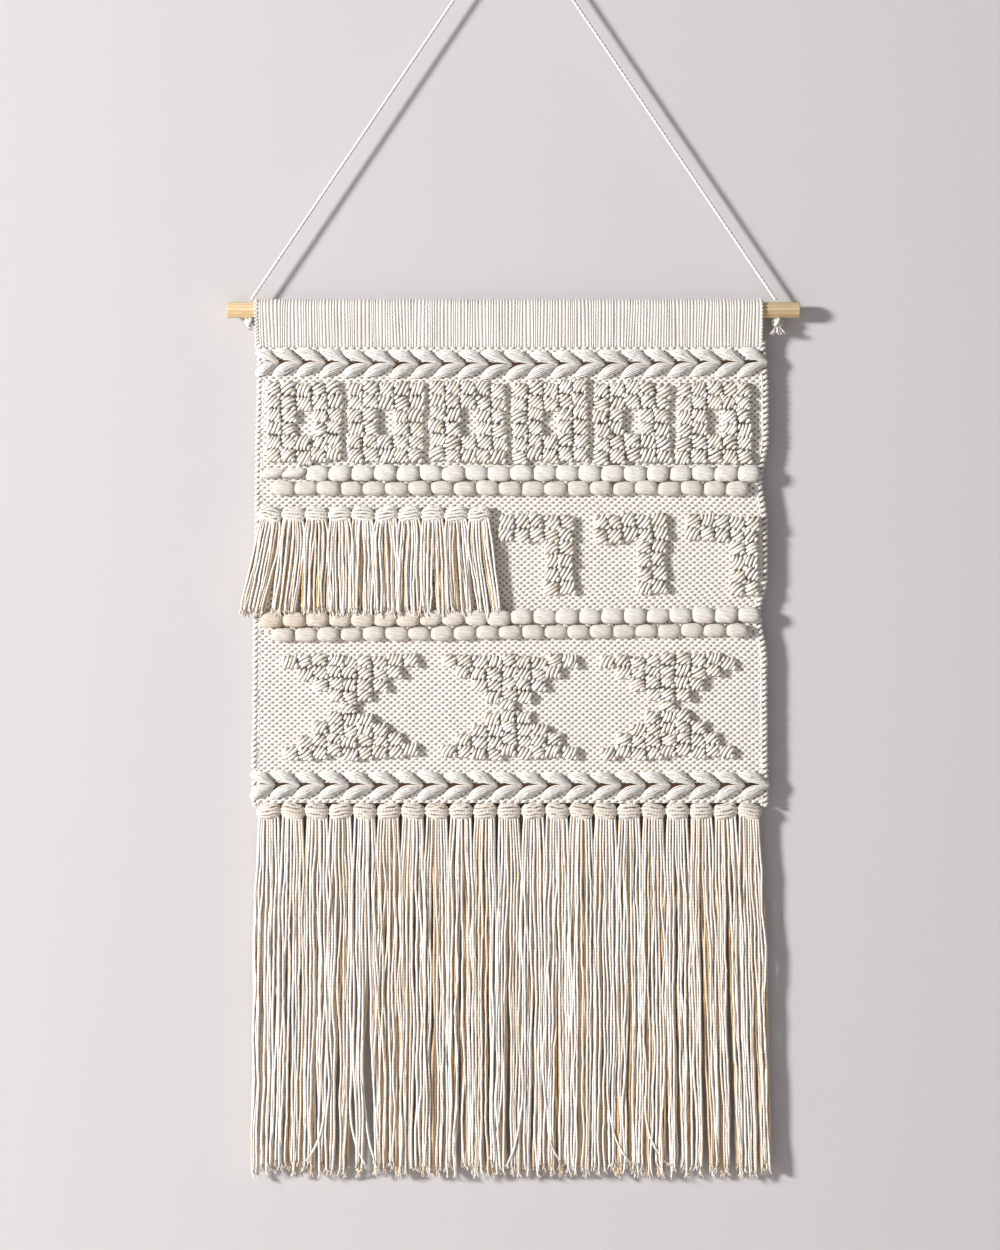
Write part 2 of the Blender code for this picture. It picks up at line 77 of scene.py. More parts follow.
# The cord's centreline (x, z) up its left half, the same points as in the model.
CORD_HALF_ROUTE = (
    (-0.20648, -0.30049),
    (-0.1700, -0.24652),
    (-0.1300, -0.18734),
    (-0.0900, -0.12816),
    (-0.0500, -0.06898),
    (-0.0200, -0.02459),
    (-0.0090, -0.00840),
    (-0.0040, -0.00160),
)
CORD_BIGHT = (0.0, 0.0012)

# Selvedge lines: (drop below the rod's axis, distance out from the sleeve's end), as in the model.
LEFT_SELVEDGE = ((0.0295, -0.0024), (0.1415, -0.0007), (0.2715, 0.0009), (0.3885, 0.0021))
RIGHT_SELVEDGE = (
    (0.0295, 0.0017),
    (0.0635, 0.0040),
    (0.1015, 0.0040),
    (0.1335, -0.0010),
    (0.1665, 0.0030),
    (0.2115, 0.0032),
    (0.2375, -0.0020),
    (0.2765, 0.0030),
    (0.3465, 0.0034),
    (0.3885, 0.0038),
)

# Where the loop pile stands in each motif, row by row.
FRAME_PATTERN = ("#####", "#####", "##.##", "##.##", "#####", "#####")
SEVEN_PATTERN = ("#####", "#####", "...##", "...##", "...##", "...##")
HOURGLASS_ROWS = 9

# How far out a point of a yarn looks for its neighbours, for the painted shade in the creases, in the fringe
# and in all other yarns.
FRINGE_SHADE_REACH = 0.0022
YARN_SHADE_REACH = 0.0050

Yarn = namedtuple("Yarn", "points radii strand shade tilts")


def size(name, default, description):
    return bpy.props.FloatProperty(
        name=name, default=default, description=description, min=0.0, precision=5, unit="LENGTH"
    )


def colour(name, default, description):
    return bpy.props.FloatVectorProperty(
        name=name, default=default, description=description, min=0.0, max=1.0, size=3, subtype="COLOR"
    )


class HangingSizes(bpy.types.PropertyGroup):
    cord: size("Cord", 0.0024, "Diameter of the hanging cord")
    cord_twist: size("Cord twist", 0.0105, "Length of one turn of the cord's plies")
    warp_pitch: size("Warp pitch", 0.0029, "Width of one bump of the plain weave")
    weft_pitch: size("Weft pitch", 0.00235, "Height of one bump of the plain weave")
    weave_relief: size("Weave relief", 0.00110, "How far the bumps of the weave stand up")
    rib_pitch: size("Rib pitch", 0.0023, "Spacing of the ribs along the sleeve")
    rib_relief: size("Rib relief", 0.0007, "How far the ribs of the sleeve stand up")
    braid_yarn: size("Braid yarn", 0.00078, "Radius of one yarn in a leaf of the braid")
    loop_yarn: size("Loop yarn", 0.00132, "Radius of the yarn that makes the loop pile")
    fringe_yarn: size("Fringe yarn", 0.00092, "Radius of one yarn of the fringe")
    view_height: size("View height", 0.984, "Height of wall that the camera takes in")
    view_centre_x: bpy.props.FloatProperty(
        name="View centre X", default=-0.0106, description="Middle of the view", precision=4, unit="LENGTH"
    )
    view_centre_z: bpy.props.FloatProperty(
        name="View centre Z", default=-0.5564, description="Middle of the view", precision=4, unit="LENGTH"
    )


class HangingColours(bpy.types.PropertyGroup):
    cream: colour("Cream", (0.97, 0.95, 0.91), "Cotton of the fringe in the light")
    # Painted shade: the golden colour of the fringe's middle and back yarns, where they lie in shade behind
    # the front yarns.
    golden: colour("Golden", (0.70, 0.45, 0.20), "Cotton of the fringe's inner yarns")
    # Painted shade, deep brown, in the creases between the yarns of the fringe and of the long tassels'
    # wrappings.
    golden_crease_shade: colour("Golden, deep", (0.27, 0.14, 0.045), "Between the yarns of the fringe")
    canvas: colour("Canvas", (0.90, 0.865, 0.81), "Woven ground and sleeve")
    # Painted shade in the creases of the cloth, the roving, the cord and the other white yarns.
    canvas_crease_shade: colour("Canvas, deep", (0.34, 0.25, 0.17), "Between the threads of the cloth")
    white: colour("White", (0.92, 0.90, 0.86), "Selvedges, ties, braids and white roving")
    beige: colour("Beige", (0.83, 0.775, 0.71), "Beige roving, and the shaded side of braids and cloth")
    # The real tint of the lower white roving and the tone of some wrapping yarns, and also painted shade at
    # the drawn-in ends of the puffs.
    tan: colour("Tan", (0.72, 0.56, 0.38), "Tinted roving")
    pile: colour("Pile", (0.80, 0.68, 0.52), "Loop pile")
    # Painted shade in the creases of the pile and the braids, and the colour of the dark bed under the braids.
    pile_crease_shade: colour("Pile, deep", (0.075, 0.032, 0.010), "Between the yarns of the pile and of the braids")
    pine_light: colour("Pine, early wood", (0.78, 0.63, 0.42), "Pale wood between the rings")
    pine_dark: colour("Pine, late wood", (0.62, 0.42, 0.20), "Darker wood of the rings")
    wall: colour("Wall", (0.62, 0.595, 0.59), "Painted wall and floor")


# Nodes and materials.


def add_node(tree, kind, inputs=None, **settings):
    """A shader node with these settings. An input is given a value, or the socket that feeds it."""
    node = tree.nodes.new(kind)
    for key, value in settings.items():
        setattr(node, key, value)
    for key, value in (inputs or {}).items():
        if isinstance(value, bpy.types.NodeSocket):
            tree.links.new(value, node.inputs[key])
        else:
            node.inputs[key].default_value = value
    return node


def math_node(tree, operation, first, second=0.0):
    return add_node(tree, "ShaderNodeMath", {0: first, 1: second}, operation=operation).outputs[0]


def mixed(tree, factor, first, second, blend="MIX"):
    """The colour between first and second."""
    node = add_node(tree, "ShaderNodeMix", data_type="RGBA", blend_type=blend)
    for key, value in ((0, factor), (6, first), (7, second)):
        if isinstance(value, bpy.types.NodeSocket):
            tree.links.new(value, node.inputs[key])
        else:
            node.inputs[key].default_value = value
    return node.outputs[2]


def new_group(name, inputs, outputs):
    """A shader node group with named inputs, as (name, kind, default), and outputs, as (name, kind)."""
    group = bpy.data.node_groups.new(name, "ShaderNodeTree")
    for label, kind, default in inputs:
        socket = group.interface.new_socket(label, in_out="INPUT", socket_type=kind)
        if default is not None:
            socket.default_value = default
    for label, kind in outputs:
        group.interface.new_socket(label, in_out="OUTPUT", socket_type=kind)
    entry = group.nodes.new("NodeGroupInput")
    leave = group.nodes.new("NodeGroupOutput")
    return group, entry.outputs, leave.inputs


def twist_group():
    """Plies and fibres that wind round a yarn."""
    name = "Yarn Twist"
    if name in bpy.data.node_groups:
        return bpy.data.node_groups[name]
    number = "NodeSocketFloat"
    tree, given, made = new_group(
        name,
        [(label, number, default) for label, default in (
            ("Turn", 0.0), ("Along", 0.0), ("Strand", 0.0), ("Pitch", 0.006), ("Plies", 2.0))],
        [("Ply", number), ("Fibre", number)],
    )
    lay = math_node(tree, "ADD", given["Turn"], math_node(tree, "DIVIDE", given["Along"], given["Pitch"]))
    half_turn = math_node(tree, "MULTIPLY", math_node(tree, "MULTIPLY", lay, given["Plies"]), math.pi)
    ply = math_node(tree, "ABSOLUTE", math_node(tree, "SINE", half_turn))
    tree.links.new(math_node(tree, "POWER", ply, 0.6), made["Ply"])
    angle = math_node(tree, "MULTIPLY", lay, math.tau)
    run = math_node(tree, "MULTIPLY_ADD", given["Along"], 180.0)
    tree.links.new(math_node(tree, "MULTIPLY", given["Strand"], 53.0), run.node.inputs[2])
    place = add_node(
        tree,
        "ShaderNodeCombineXYZ",
        {"X": math_node(tree, "COSINE", angle), "Y": math_node(tree, "SINE", angle), "Z": run},
    )
    fibre = add_node(
        tree,
        "ShaderNodeTexNoise",
        {"Vector": place.outputs[0], "Scale": 5.0, "Detail": 3.0, "Roughness": 0.6},
    )
    tree.links.new(fibre.outputs[0], made["Fibre"])
    return tree


def fuzz_group():
    """Fine fibres, matted over the surface, and slow changes of tone."""
    name = "Cotton Fuzz"
    if name in bpy.data.node_groups:
        return bpy.data.node_groups[name]
    number = "NodeSocketFloat"
    tree, given, made = new_group(
        name,
        [("Vector", "NodeSocketVector", None), ("Fineness", number, 1500.0)],
        [("Fibre", number), ("Tone", number)],
    )
    fibre = add_node(
        tree,
        "ShaderNodeTexNoise",
        {"Vector": given["Vector"], "Scale": given["Fineness"], "Detail": 3.0, "Roughness": 0.65},
    )
    tone = add_node(tree, "ShaderNodeTexNoise", {"Vector": given["Vector"], "Scale": 38.0, "Detail": 4.0})
    tree.links.new(fibre.outputs[0], made["Fibre"])
    tree.links.new(tone.outputs[0], made["Tone"])
    return tree


def weave_group(ribbed):
    """Height of a weave: staggered bumps for plain weave, or beaded ribs."""
    name = "Ribbed Weave" if ribbed else "Plain Weave"
    number = "NodeSocketFloat"
    tree, given, made = new_group(name, [("Warp", number, 0.0), ("Weft", number, 0.0)], [("Height", number)])
    waves = [
        math_node(tree, "SINE", math_node(tree, "MULTIPLY", given[label], math.pi))
        for label in ("Warp", "Weft")
    ]
    if ribbed:
        rib = math_node(tree, "POWER", math_node(tree, "ABSOLUTE", waves[0]), 0.6)
        bead = math_node(tree, "MULTIPLY_ADD", math_node(tree, "ABSOLUTE", waves[1]), 0.55)
        bead.node.inputs[2].default_value = 0.45
        height = math_node(tree, "MULTIPLY", rib, bead)
    else:
        cell = math_node(tree, "MULTIPLY", *waves)
        raised = math_node(tree, "DIVIDE", math_node(tree, "ADD", cell, 0.72), 1.72)
        height = math_node(tree, "POWER", math_node(tree, "MAXIMUM", raised, 0.0), 0.6)
    tree.links.new(height, made["Height"])
    return tree


def cotton_group():
    """Cotton's colour, with painted shade: lighter on top, deeper and warmer in the creases and on shaded
    yarns.
    """
    name = "Cotton Colour"
    if name in bpy.data.node_groups:
        return bpy.data.node_groups[name]
    number, hue = "NodeSocketFloat", "NodeSocketColor"
    tree, given, made = new_group(
        name,
        [
            ("Light", hue, (0.8, 0.8, 0.8, 1)),
            ("Shaded", hue, (0.6, 0.5, 0.4, 1)),
            ("Crease", hue, (0.3, 0.25, 0.2, 1)),
            ("Shade", number, 0.0),
            ("Top", number, 1.0),
            ("Tone", number, 0.5),
        ],
        [("Color", hue)],
    )
    tone = math_node(tree, "MULTIPLY_ADD", given["Tone"], 0.9)
    tone.node.inputs[2].default_value = -0.45
    share = add_node(
        tree, "ShaderNodeMath", {0: given["Shade"], 1: tone}, operation="ADD", use_clamp=True
    ).outputs[0]
    # Shade mixes the light colour towards the shaded one: partly painted shade, partly random tone and real
    # tint.
    body = mixed(tree, share, given["Light"], given["Shaded"])
    # Where Top is low, the painted crease shade takes over.
    tree.links.new(mixed(tree, given["Top"], given["Crease"], body), made["Color"])
    return tree


def use_group(tree, group, inputs):
    node = add_node(tree, "ShaderNodeGroup", node_tree=group)
    for key, value in inputs.items():
        if isinstance(value, bpy.types.NodeSocket):
            tree.links.new(value, node.inputs[key])
        else:
            node.inputs[key].default_value = value
    return node.outputs


def attribute(tree, name):
    return add_node(tree, "ShaderNodeAttribute", attribute_name=name).outputs["Fac"]


def opaque(rgb):
    return (*rgb, 1.0)


def new_material(name, roughness, sheen):
    """A material with its Principled shader, and the tree that feeds it."""
    material = bpy.data.materials.new(name)
    material.use_nodes = True
    shader = material.node_tree.nodes["Principled BSDF"]
    shader.inputs["Roughness"].default_value = roughness
    shader.inputs["Sheen Weight"].default_value = sheen
    shader.inputs["Sheen Roughness"].default_value = 0.5
    shader.inputs["Specular IOR Level"].default_value = 0.25
    return material, material.node_tree, shader


def yarn_material(name, light, shaded, crease_shade, pitch, plies, relief=0.00018, top=0.55):
    """Cotton yarn: its twist follows each yarn, by the yarn UV map and the along attribute."""
    material, tree, shader = new_material(name, 0.9, 0.25)
    turn = add_node(
        tree, "ShaderNodeSeparateXYZ", {0: add_node(tree, "ShaderNodeUVMap", uv_map="yarn").outputs[0]}
    )
    strand = attribute(tree, "strand")
    twist = use_group(
        tree,
        twist_group(),
        {
            "Turn": turn.outputs[0],
            "Along": attribute(tree, "along"),
            "Strand": strand,
            "Pitch": pitch,
            "Plies": plies,
        },
    )
    height = math_node(tree, "MULTIPLY_ADD", twist["Fibre"], 0.5)
    tree.links.new(twist["Ply"], height.node.inputs[2])
    # Painted shade: darker in the hollows between the plies, down to top, and where another yarn hides the
    # point, by the open attribute.
    edge = math_node(tree, "MULTIPLY_ADD", twist["Ply"], 1.0 - top)
    edge.node.inputs[2].default_value = top
    edge = math_node(tree, "MULTIPLY", edge, attribute(tree, "open"))
    cotton = use_group(
        tree,
        cotton_group(),
        {
            "Light": opaque(light),
            "Shaded": opaque(shaded),
            "Crease": opaque(crease_shade),
            "Shade": math_node(tree, "MULTIPLY_ADD", strand, 0.16),
            "Top": edge,
            "Tone": twist["Fibre"],
        },
    )
    # The shade attribute mixes towards the shaded colour: painted shade on the fringe's inner yarns and the
    # braids, random tone on the rest.
    shade = cotton["Color"].node.inputs["Shade"].links[0].from_node
    tree.links.new(attribute(tree, "shade"), shade.inputs[2])
    tree.links.new(cotton["Color"], shader.inputs["Base Color"])
    bump = add_node(tree, "ShaderNodeBump", {"Height": height, "Distance": relief, "Strength": 0.8})
    tree.links.new(bump.outputs[0], shader.inputs["Normal"])
    return material


def cloth_material(name, light, shaded, crease_shade, stretch, fineness, relief, weave=None):
    """Cotton cloth or roving: fuzz on Object coordinates, painted crease shade by a weave or the top
    attribute.
    """
    material, tree, shader = new_material(name, 0.92, 0.2)
    place = add_node(tree, "ShaderNodeTexCoord").outputs["Object"]
    place = add_node(tree, "ShaderNodeMapping", {"Vector": place, "Scale": stretch}).outputs[0]
    fuzz = use_group(tree, fuzz_group(), {"Vector": place, "Fineness": fineness})
    top = attribute(tree, "top")
    if weave:
        places = {"Warp": attribute(tree, "warp"), "Weft": attribute(tree, "weft")}
        woven = use_group(tree, weave, places)["Height"]
        # Painted shade in the hollows of the weave, scaled by the top attribute.
        top = add_node(tree, "ShaderNodeMath", {0: woven, 1: top}, operation="MULTIPLY_ADD", use_clamp=True)
        top.inputs[2].default_value = 0.10
        top = top.outputs[0]
    cotton = use_group(
        tree,
        cotton_group(),
        {
            "Light": opaque(light),
            "Shaded": opaque(shaded),
            "Crease": opaque(crease_shade),
            # Shade: the roving's real tint, with painted shade at the ends of the puffs, and a flat tone on
            # ground and sleeve.
            "Shade": attribute(tree, "shade"),
            "Top": top,
            "Tone": fuzz["Tone" if weave else "Fibre"],
        },
    )
    tree.links.new(cotton["Color"], shader.inputs["Base Color"])
    bump = add_node(tree, "ShaderNodeBump", {"Height": fuzz["Fibre"], "Distance": relief, "Strength": 0.7})
    if weave:
        under = add_node(tree, "ShaderNodeBump", {"Height": woven, "Distance": 0.0007, "Strength": 0.8})
        tree.links.new(under.outputs[0], bump.inputs["Normal"])
    tree.links.new(bump.outputs[0], shader.inputs["Normal"])
    return material


def pine_material(colours):
    """Pale pine: rings round a pith below the rod, drawn out along it, with fine pores."""
    material, tree, shader = new_material("turned_pine", 0.55, 0.0)
    place = add_node(tree, "ShaderNodeTexCoord").outputs["Object"]
    below = (0.0, 0.011, -ROD_CENTRE.z + 0.006)
    pith = add_node(tree, "ShaderNodeMapping", {"Vector": place, "Location": below})
    rings = add_node(
        tree,
        "ShaderNodeTexWave",
        {"Vector": pith.outputs[0], "Scale": 120.0, "Distortion": 1.6, "Detail": 2.0, "Detail Scale": 0.4},
        wave_type="RINGS",
        rings_direction="X",
    )
    drawn_out = add_node(tree, "ShaderNodeMapping", {"Vector": place, "Scale": (0.04, 1.0, 1.0)})
    pores = add_node(
        tree, "ShaderNodeTexNoise", {"Vector": drawn_out.outputs[0], "Scale": 2400.0, "Detail": 3.0}
    )
    ring = math_node(tree, "POWER", rings.outputs["Fac"], 2.0)
    wood = mixed(tree, ring, opaque(colours.pine_light), opaque(colours.pine_dark))
    wood = mixed(tree, math_node(tree, "MULTIPLY", pores.outputs[0], 0.35), wood, opaque(colours.pine_dark))
    tree.links.new(wood, shader.inputs["Base Color"])
    rough = math_node(tree, "MULTIPLY_ADD", pores.outputs[0], 0.25)
    rough.node.inputs[2].default_value = 0.60
    tree.links.new(rough, shader.inputs["Roughness"])
    bump = add_node(tree, "ShaderNodeBump", {"Height": pores.outputs[0], "Distance": 0.0001, "Strength": 0.4})
    tree.links.new(bump.outputs[0], shader.inputs["Normal"])
    return material


def wall_material(colours):
    """Matt paint with a faint roller texture, clear from behind so that the back can be looked at."""
    material, tree, shader = new_material("painted_wall", 0.95, 0.0)
    place = add_node(tree, "ShaderNodeTexCoord").outputs["Object"]
    roller = add_node(tree, "ShaderNodeTexNoise", {"Vector": place, "Scale": 320.0, "Detail": 3.0})
    tone = add_node(tree, "ShaderNodeTexNoise", {"Vector": place, "Scale": 2.2, "Detail": 2.0})
    patches = math_node(tree, "MULTIPLY", tone.outputs[0], 0.10)
    paint = mixed(tree, patches, opaque(colours.wall), (0.54, 0.515, 0.51, 1.0))
    tree.links.new(paint, shader.inputs["Base Color"])
    bump = add_node(
        tree, "ShaderNodeBump", {"Height": roller.outputs[0], "Distance": 0.0001, "Strength": 0.3}
    )
    tree.links.new(bump.outputs[0], shader.inputs["Normal"])
    clear = add_node(tree, "ShaderNodeBsdfTransparent")
    side = add_node(tree, "ShaderNodeNewGeometry").outputs["Backfacing"]
    both = add_node(tree, "ShaderNodeMixShader", {0: side, 1: shader.outputs[0], 2: clear.outputs[0]})
    tree.links.new(both.outputs[0], tree.nodes["Material Output"].inputs["Surface"])
    return material


# Shapes.


def smooth_curve(points, samples):
    """Points read from a smooth curve (Catmull-Rom) through the given ones."""
    path = [Vector(point) for point in points]
    ends = [2 * path[0] - path[1], *path, 2 * path[-1] - path[-2]]
    curve = []
    for before, here, there, after in zip(ends, ends[1:], ends[2:], ends[3:]):
        for step in range(samples):
            t = step / samples
            along = (there - before) / 2
            bend = before - 2.5 * here + 2 * there - after / 2
            turn = (after - before + 3 * (here - there)) / 2
            curve.append(here + t * along + t * t * bend + t**3 * turn)
    return curve + [path[-1]]


def distance_out(points, z):
    """How far out a selvedge lies at this height, eased between its given points."""
    drop = ROD_CENTRE.z - z
    for (upper, out_upper), (lower, out_lower) in zip(points, points[1:]):
        if drop <= lower:
            share = max(0.0, (drop - upper) / (lower - upper))
            return out_upper + (out_lower - out_upper) * (1 - math.cos(math.pi * share)) / 2
    return points[-1][1]


def left_edge_x(z):
    return LEFT_EDGE - distance_out(LEFT_SELVEDGE, z)


def right_edge_x(z):
    return RIGHT_EDGE + distance_out(RIGHT_SELVEDGE, z)


def wander(place, seed, amount):
    """A smooth irregularity, the same each time for the same place and seed."""
    return amount * noise.noise(Vector((place, seed * 7.31, seed * 1.77)))


def yarn(points, radius, strand=0.5, shade=0.0, taper=None, tilts=None):
    """A yarn through these points that closes to a point at both ends."""
    points = [Vector(point) for point in points]
    steps = len(points) - 1
    radii = [radius * (taper(step / steps) if taper else 1.0) for step in range(steps + 1)]
    before = (points[0] - points[1]).normalized() * radii[0] * 0.5
    after = (points[-1] - points[-2]).normalized() * radii[-1] * 0.5
    tilts = [tilts[0], *tilts, tilts[-1]] if tilts else None
    return Yarn(
        [points[0] + before, *points, points[-1] + after], [0.0, *radii, 0.0], strand, shade, tilts
    )


def lobed_section(lobes, depth, corners):
    """A hidden closed curve of unit size, the cross-section of a yarn laid up from plies."""
    curve = bpy.data.curves.new("section", "CURVE")
    curve.dimensions = "2D"
    spline = curve.splines.new("POLY")
    spline.points.add(corners - 1)
    for index, point in enumerate(spline.points):
        angle = math.tau * index / corners
        reach = 1.16 - depth * (0.5 - 0.5 * math.cos(lobes * angle))
        point.co = (reach * math.cos(angle), reach * math.sin(angle), 0, 1)
    spline.use_cyclic_u = True
    section = bpy.data.objects.new("section", curve)
    bpy.context.scene.collection.objects.link(section)
    return section


def yarn_mesh(name, yarns, detail=1, section=None):
    """One mesh of yarns.

    It has the UV map yarn, round each one, and the attributes along, strand and shade.
    """
    curve = bpy.data.curves.new(name, "CURVE")
    curve.dimensions = "3D"
    if section:
        curve.bevel_mode = "OBJECT"
        curve.bevel_object = section
    else:
        curve.bevel_depth = 1.0
        curve.bevel_resolution = detail
    for one in yarns:
        spline = curve.splines.new("POLY")
        spline.points.add(len(one.points) - 1)
        spline.points.foreach_set("co", [number for point in one.points for number in (*point, 1.0)])
        spline.points.foreach_set("radius", one.radii)
        if one.tilts:
            spline.points.foreach_set("tilt", one.tilts)
    holder = bpy.data.objects.new(name, curve)
    bpy.context.scene.collection.objects.link(holder)
    graph = bpy.context.evaluated_depsgraph_get()
    mesh = bpy.data.meshes.new_from_object(holder.evaluated_get(graph))
    bpy.data.objects.remove(holder)
    bpy.data.curves.remove(curve)
    mesh.name = name
    mesh.uv_layers[0].name = "yarn"
    sides = len(mesh.vertices) // sum(len(one.points) for one in yarns)
    along, strand, shade = [], [], []
    for one in yarns:
        distance = 0.0
        for index, point in enumerate(one.points):
            if index:
                distance += (point - one.points[index - 1]).length
            along += [distance] * sides
        strand += [one.strand] * (sides * len(one.points))
        shade += [one.shade] * (sides * len(one.points))
    for label, values in (("along", along), ("strand", strand), ("shade", shade)):
        mesh.attributes.new(label, "FLOAT", "POINT").data.foreach_set("value", values)
    bm = bmesh.new()
    bm.from_mesh(mesh)
    bmesh.ops.remove_doubles(bm, verts=bm.verts, dist=1e-7)
    bmesh.ops.dissolve_degenerate(bm, edges=bm.edges, dist=1e-8)
    bmesh.ops.recalc_face_normals(bm, faces=bm.faces)
    bm.to_mesh(mesh)
    bm.free()
    return mesh


def finished_mesh(name, bm):
    """A mesh of a closed bmesh, with its seams merged and its faces outwards."""
    bmesh.ops.remove_doubles(bm, verts=bm.verts, dist=1e-7)
    bmesh.ops.recalc_face_normals(bm, faces=bm.faces)
    mesh = bpy.data.meshes.new(name)
    bm.to_mesh(mesh)
    bm.free()
    return mesh


def joined(name, *meshes):
    """One mesh of several, with their attributes and materials."""
    bm = bmesh.new()
    for mesh in meshes:
        bm.from_mesh(mesh)
        bpy.data.meshes.remove(mesh)
    mesh = bpy.data.meshes.new(name)
    bm.to_mesh(mesh)
    bm.free()
    return mesh


def find_crease_shade(mesh, reach, frayed):
    """Gives yarns the attribute open, which sets the painted shade in their creases: how far each point sees
    outwards before it meets another yarn.

    The fringe's frayed tips stay open, without painted shade, because light gets in between their fibres.
    """
    hidden, span, tip_length, tip_open = 0.12, 0.58, 0.009, 0.85
    bm = bmesh.new()
    bm.from_mesh(mesh)
    tree = BVHTree.FromBMesh(bm)
    sight = []
    frayed_below = min(vert.co.z for vert in bm.verts) + (tip_length if frayed else -1.0)
    tilts = (Vector((0, 0, 0)), Vector((0.8, 0, 0)), Vector((-0.8, 0, 0)))
    for vert in bm.verts:
        total = 0.0
        for tilt in tilts:
            distance = tree.ray_cast(vert.co + vert.normal * 0.00005, vert.normal + tilt, reach)[3]
            total += 1.0 if distance is None else distance / reach
        share = min(1.0, max(0.0, (total / 3 - hidden) / span)) ** (1.0 if frayed else 1.5)
        sight.append(max(share, tip_open) if vert.co.z < frayed_below else share)
    bm.free()
    mesh.attributes.new("open", "FLOAT", "POINT").data.foreach_set("value", sight)


def add_piece(name, mesh, body, slot, material, *nodes):
    """Puts a finished mesh in the scene, riding on a body and standing for CAD nodes."""
    if "strand" in mesh.attributes:
        fringed = slot == "fringe_cotton"
        find_crease_shade(mesh, FRINGE_SHADE_REACH if fringed else YARN_SHADE_REACH, fringed)
    mesh.shade_smooth()
    mesh.materials.clear()
    mesh.materials.append(material)
    piece = bpy.data.objects.new(name, mesh)
    bpy.context.scene.collection.objects.link(piece)
    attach(piece, body)
    if nodes:
        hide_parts(*nodes)
    return piece


def pillow(bm, layers, centre, half, ridges, relief, lean, seed, tint, around=40, along=16):
    """A plump closed tuft of fibres lying along X, as a grid rolled round and drawn in at both ends."""
    made = bmesh.ops.create_grid(bm, x_segments=around, y_segments=along, size=0.5)["verts"]
    for vert in made:
        turn, run = math.tau * (vert.co.x + 0.5), 2 * vert.co.y
        run = math.copysign(abs(run) ** 0.7, run)
        full = max(0.0, 1 - abs(run) ** 2.8) ** 0.46
        swirl = ridges * turn + 3.0 * run + wander(3 * run, seed, 3.5)
        swirl += wander(2 * math.cos(turn), seed + 2, 2.5)
        groove = 0.5 - 0.5 * math.cos(swirl)
        reach = full * (1 - relief * groove + wander(2 * run + 1.5 * math.cos(turn), seed + 5, 0.10))
        across, up = math.sin(turn), math.cos(turn)
        vert.co = centre + Vector(
            (half.x * run + lean * half.z * up * full, half.y * across * reach, half.z * up * reach)
        )
        # Painted shade: the top attribute darkens the grooves and the drawn-in ends.
        vert[layers["top"]] = (1 - 0.35 * groove) * min(1.0, 0.05 + 1.3 * full)
        # The tint is the roving's real colour; the rest of the shade is painted shade at the drawn-in ends.
        vert[layers["shade"]] = tint + 0.04 + 0.25 * (1 - full)


def relief_layers(bm):
    return {label: bm.verts.layers.float.new(label) for label in ("top", "shade", "warp", "weft")}


# Pieces.


def cord_yarn(points, radius, pitch, strand=0.5):
    """A yarn whose section turns once in each pitch of its length."""
    tilts, distance = [0.0], 0.0
    for here, there in zip(points, points[1:]):
        distance += (there - here).length
        tilts.append(math.tau * distance / pitch)
    return yarn(points, radius, strand=strand, tilts=tilts)


class HANGING_OT_stage(bpy.types.Operator):
    """Set up the camera, the wall, the floor and the lights"""

    bl_idname = "hanging.stage"
    bl_label = "Stage"

    def execute(self, context):
        sizes, colours = context.scene.hanging_sizes, context.scene.hanging_colours
        lens, sensor = 85.0, 36.0
        camera = bpy.data.cameras.new("camera")
        camera.lens, camera.sensor_width = lens, sensor
        holder = bpy.data.objects.new("camera", camera)
        distance = sizes.view_height * lens / sensor
        holder.location = (sizes.view_centre_x, -distance, sizes.view_centre_z)
        holder.rotation_euler = (math.radians(90), 0, 0)
        context.scene.collection.objects.link(holder)
        context.scene.camera = holder

        paint = wall_material(colours)
        floor_z, wall_y, reach = -1.7, 0.0102, 3.0
        for name, turn, place in (
            ("wall", math.radians(90), Vector((0, wall_y, floor_z + reach))),
            ("floor", 0.0, Vector((0, wall_y - reach, floor_z))),
        ):
            bm = bmesh.new()
            stand = Matrix.Translation(place) @ Matrix.Rotation(turn, 4, "X")
            bmesh.ops.create_grid(bm, x_segments=1, y_segments=1, size=reach, matrix=stand)
            mesh = bpy.data.meshes.new(name)
            bm.to_mesh(mesh)
            bm.free()
            mesh.materials.append(paint)
            surface = bpy.data.objects.new(name, mesh)
            context.scene.collection.objects.link(surface)

        target = Vector((0, 0, -0.58))
        for name, place, extent, power in (
            ("key_light", Vector((-4.6, -2.8, 0.45)), 0.8, 450.0),
            ("fill_light", Vector((1.4, -2.6, -0.5)), 1.8, 4.0),
            ("rear_light", Vector((1.2, 2.4, 0.2)), 1.6, 16.0),
        ):
            lamp = bpy.data.lights.new(name, "AREA")
            lamp.shape, lamp.size, lamp.energy = "DISK", extent, power
            lit = bpy.data.objects.new(name, lamp)
            lit.location = place
            lit.rotation_euler = (target - place).to_track_quat("-Z", "Y").to_euler()
            context.scene.collection.objects.link(lit)

        world = bpy.data.worlds.new("studio")
        world.use_nodes = True
        world.node_tree.nodes["Background"].inputs["Color"].default_value = (0.98, 0.98, 1.0, 1.0)
        world.node_tree.nodes["Background"].inputs["Strength"].default_value = 0.18
        context.scene.world = world
        context.scene.view_settings.view_transform = "Standard"
        return {"FINISHED"}


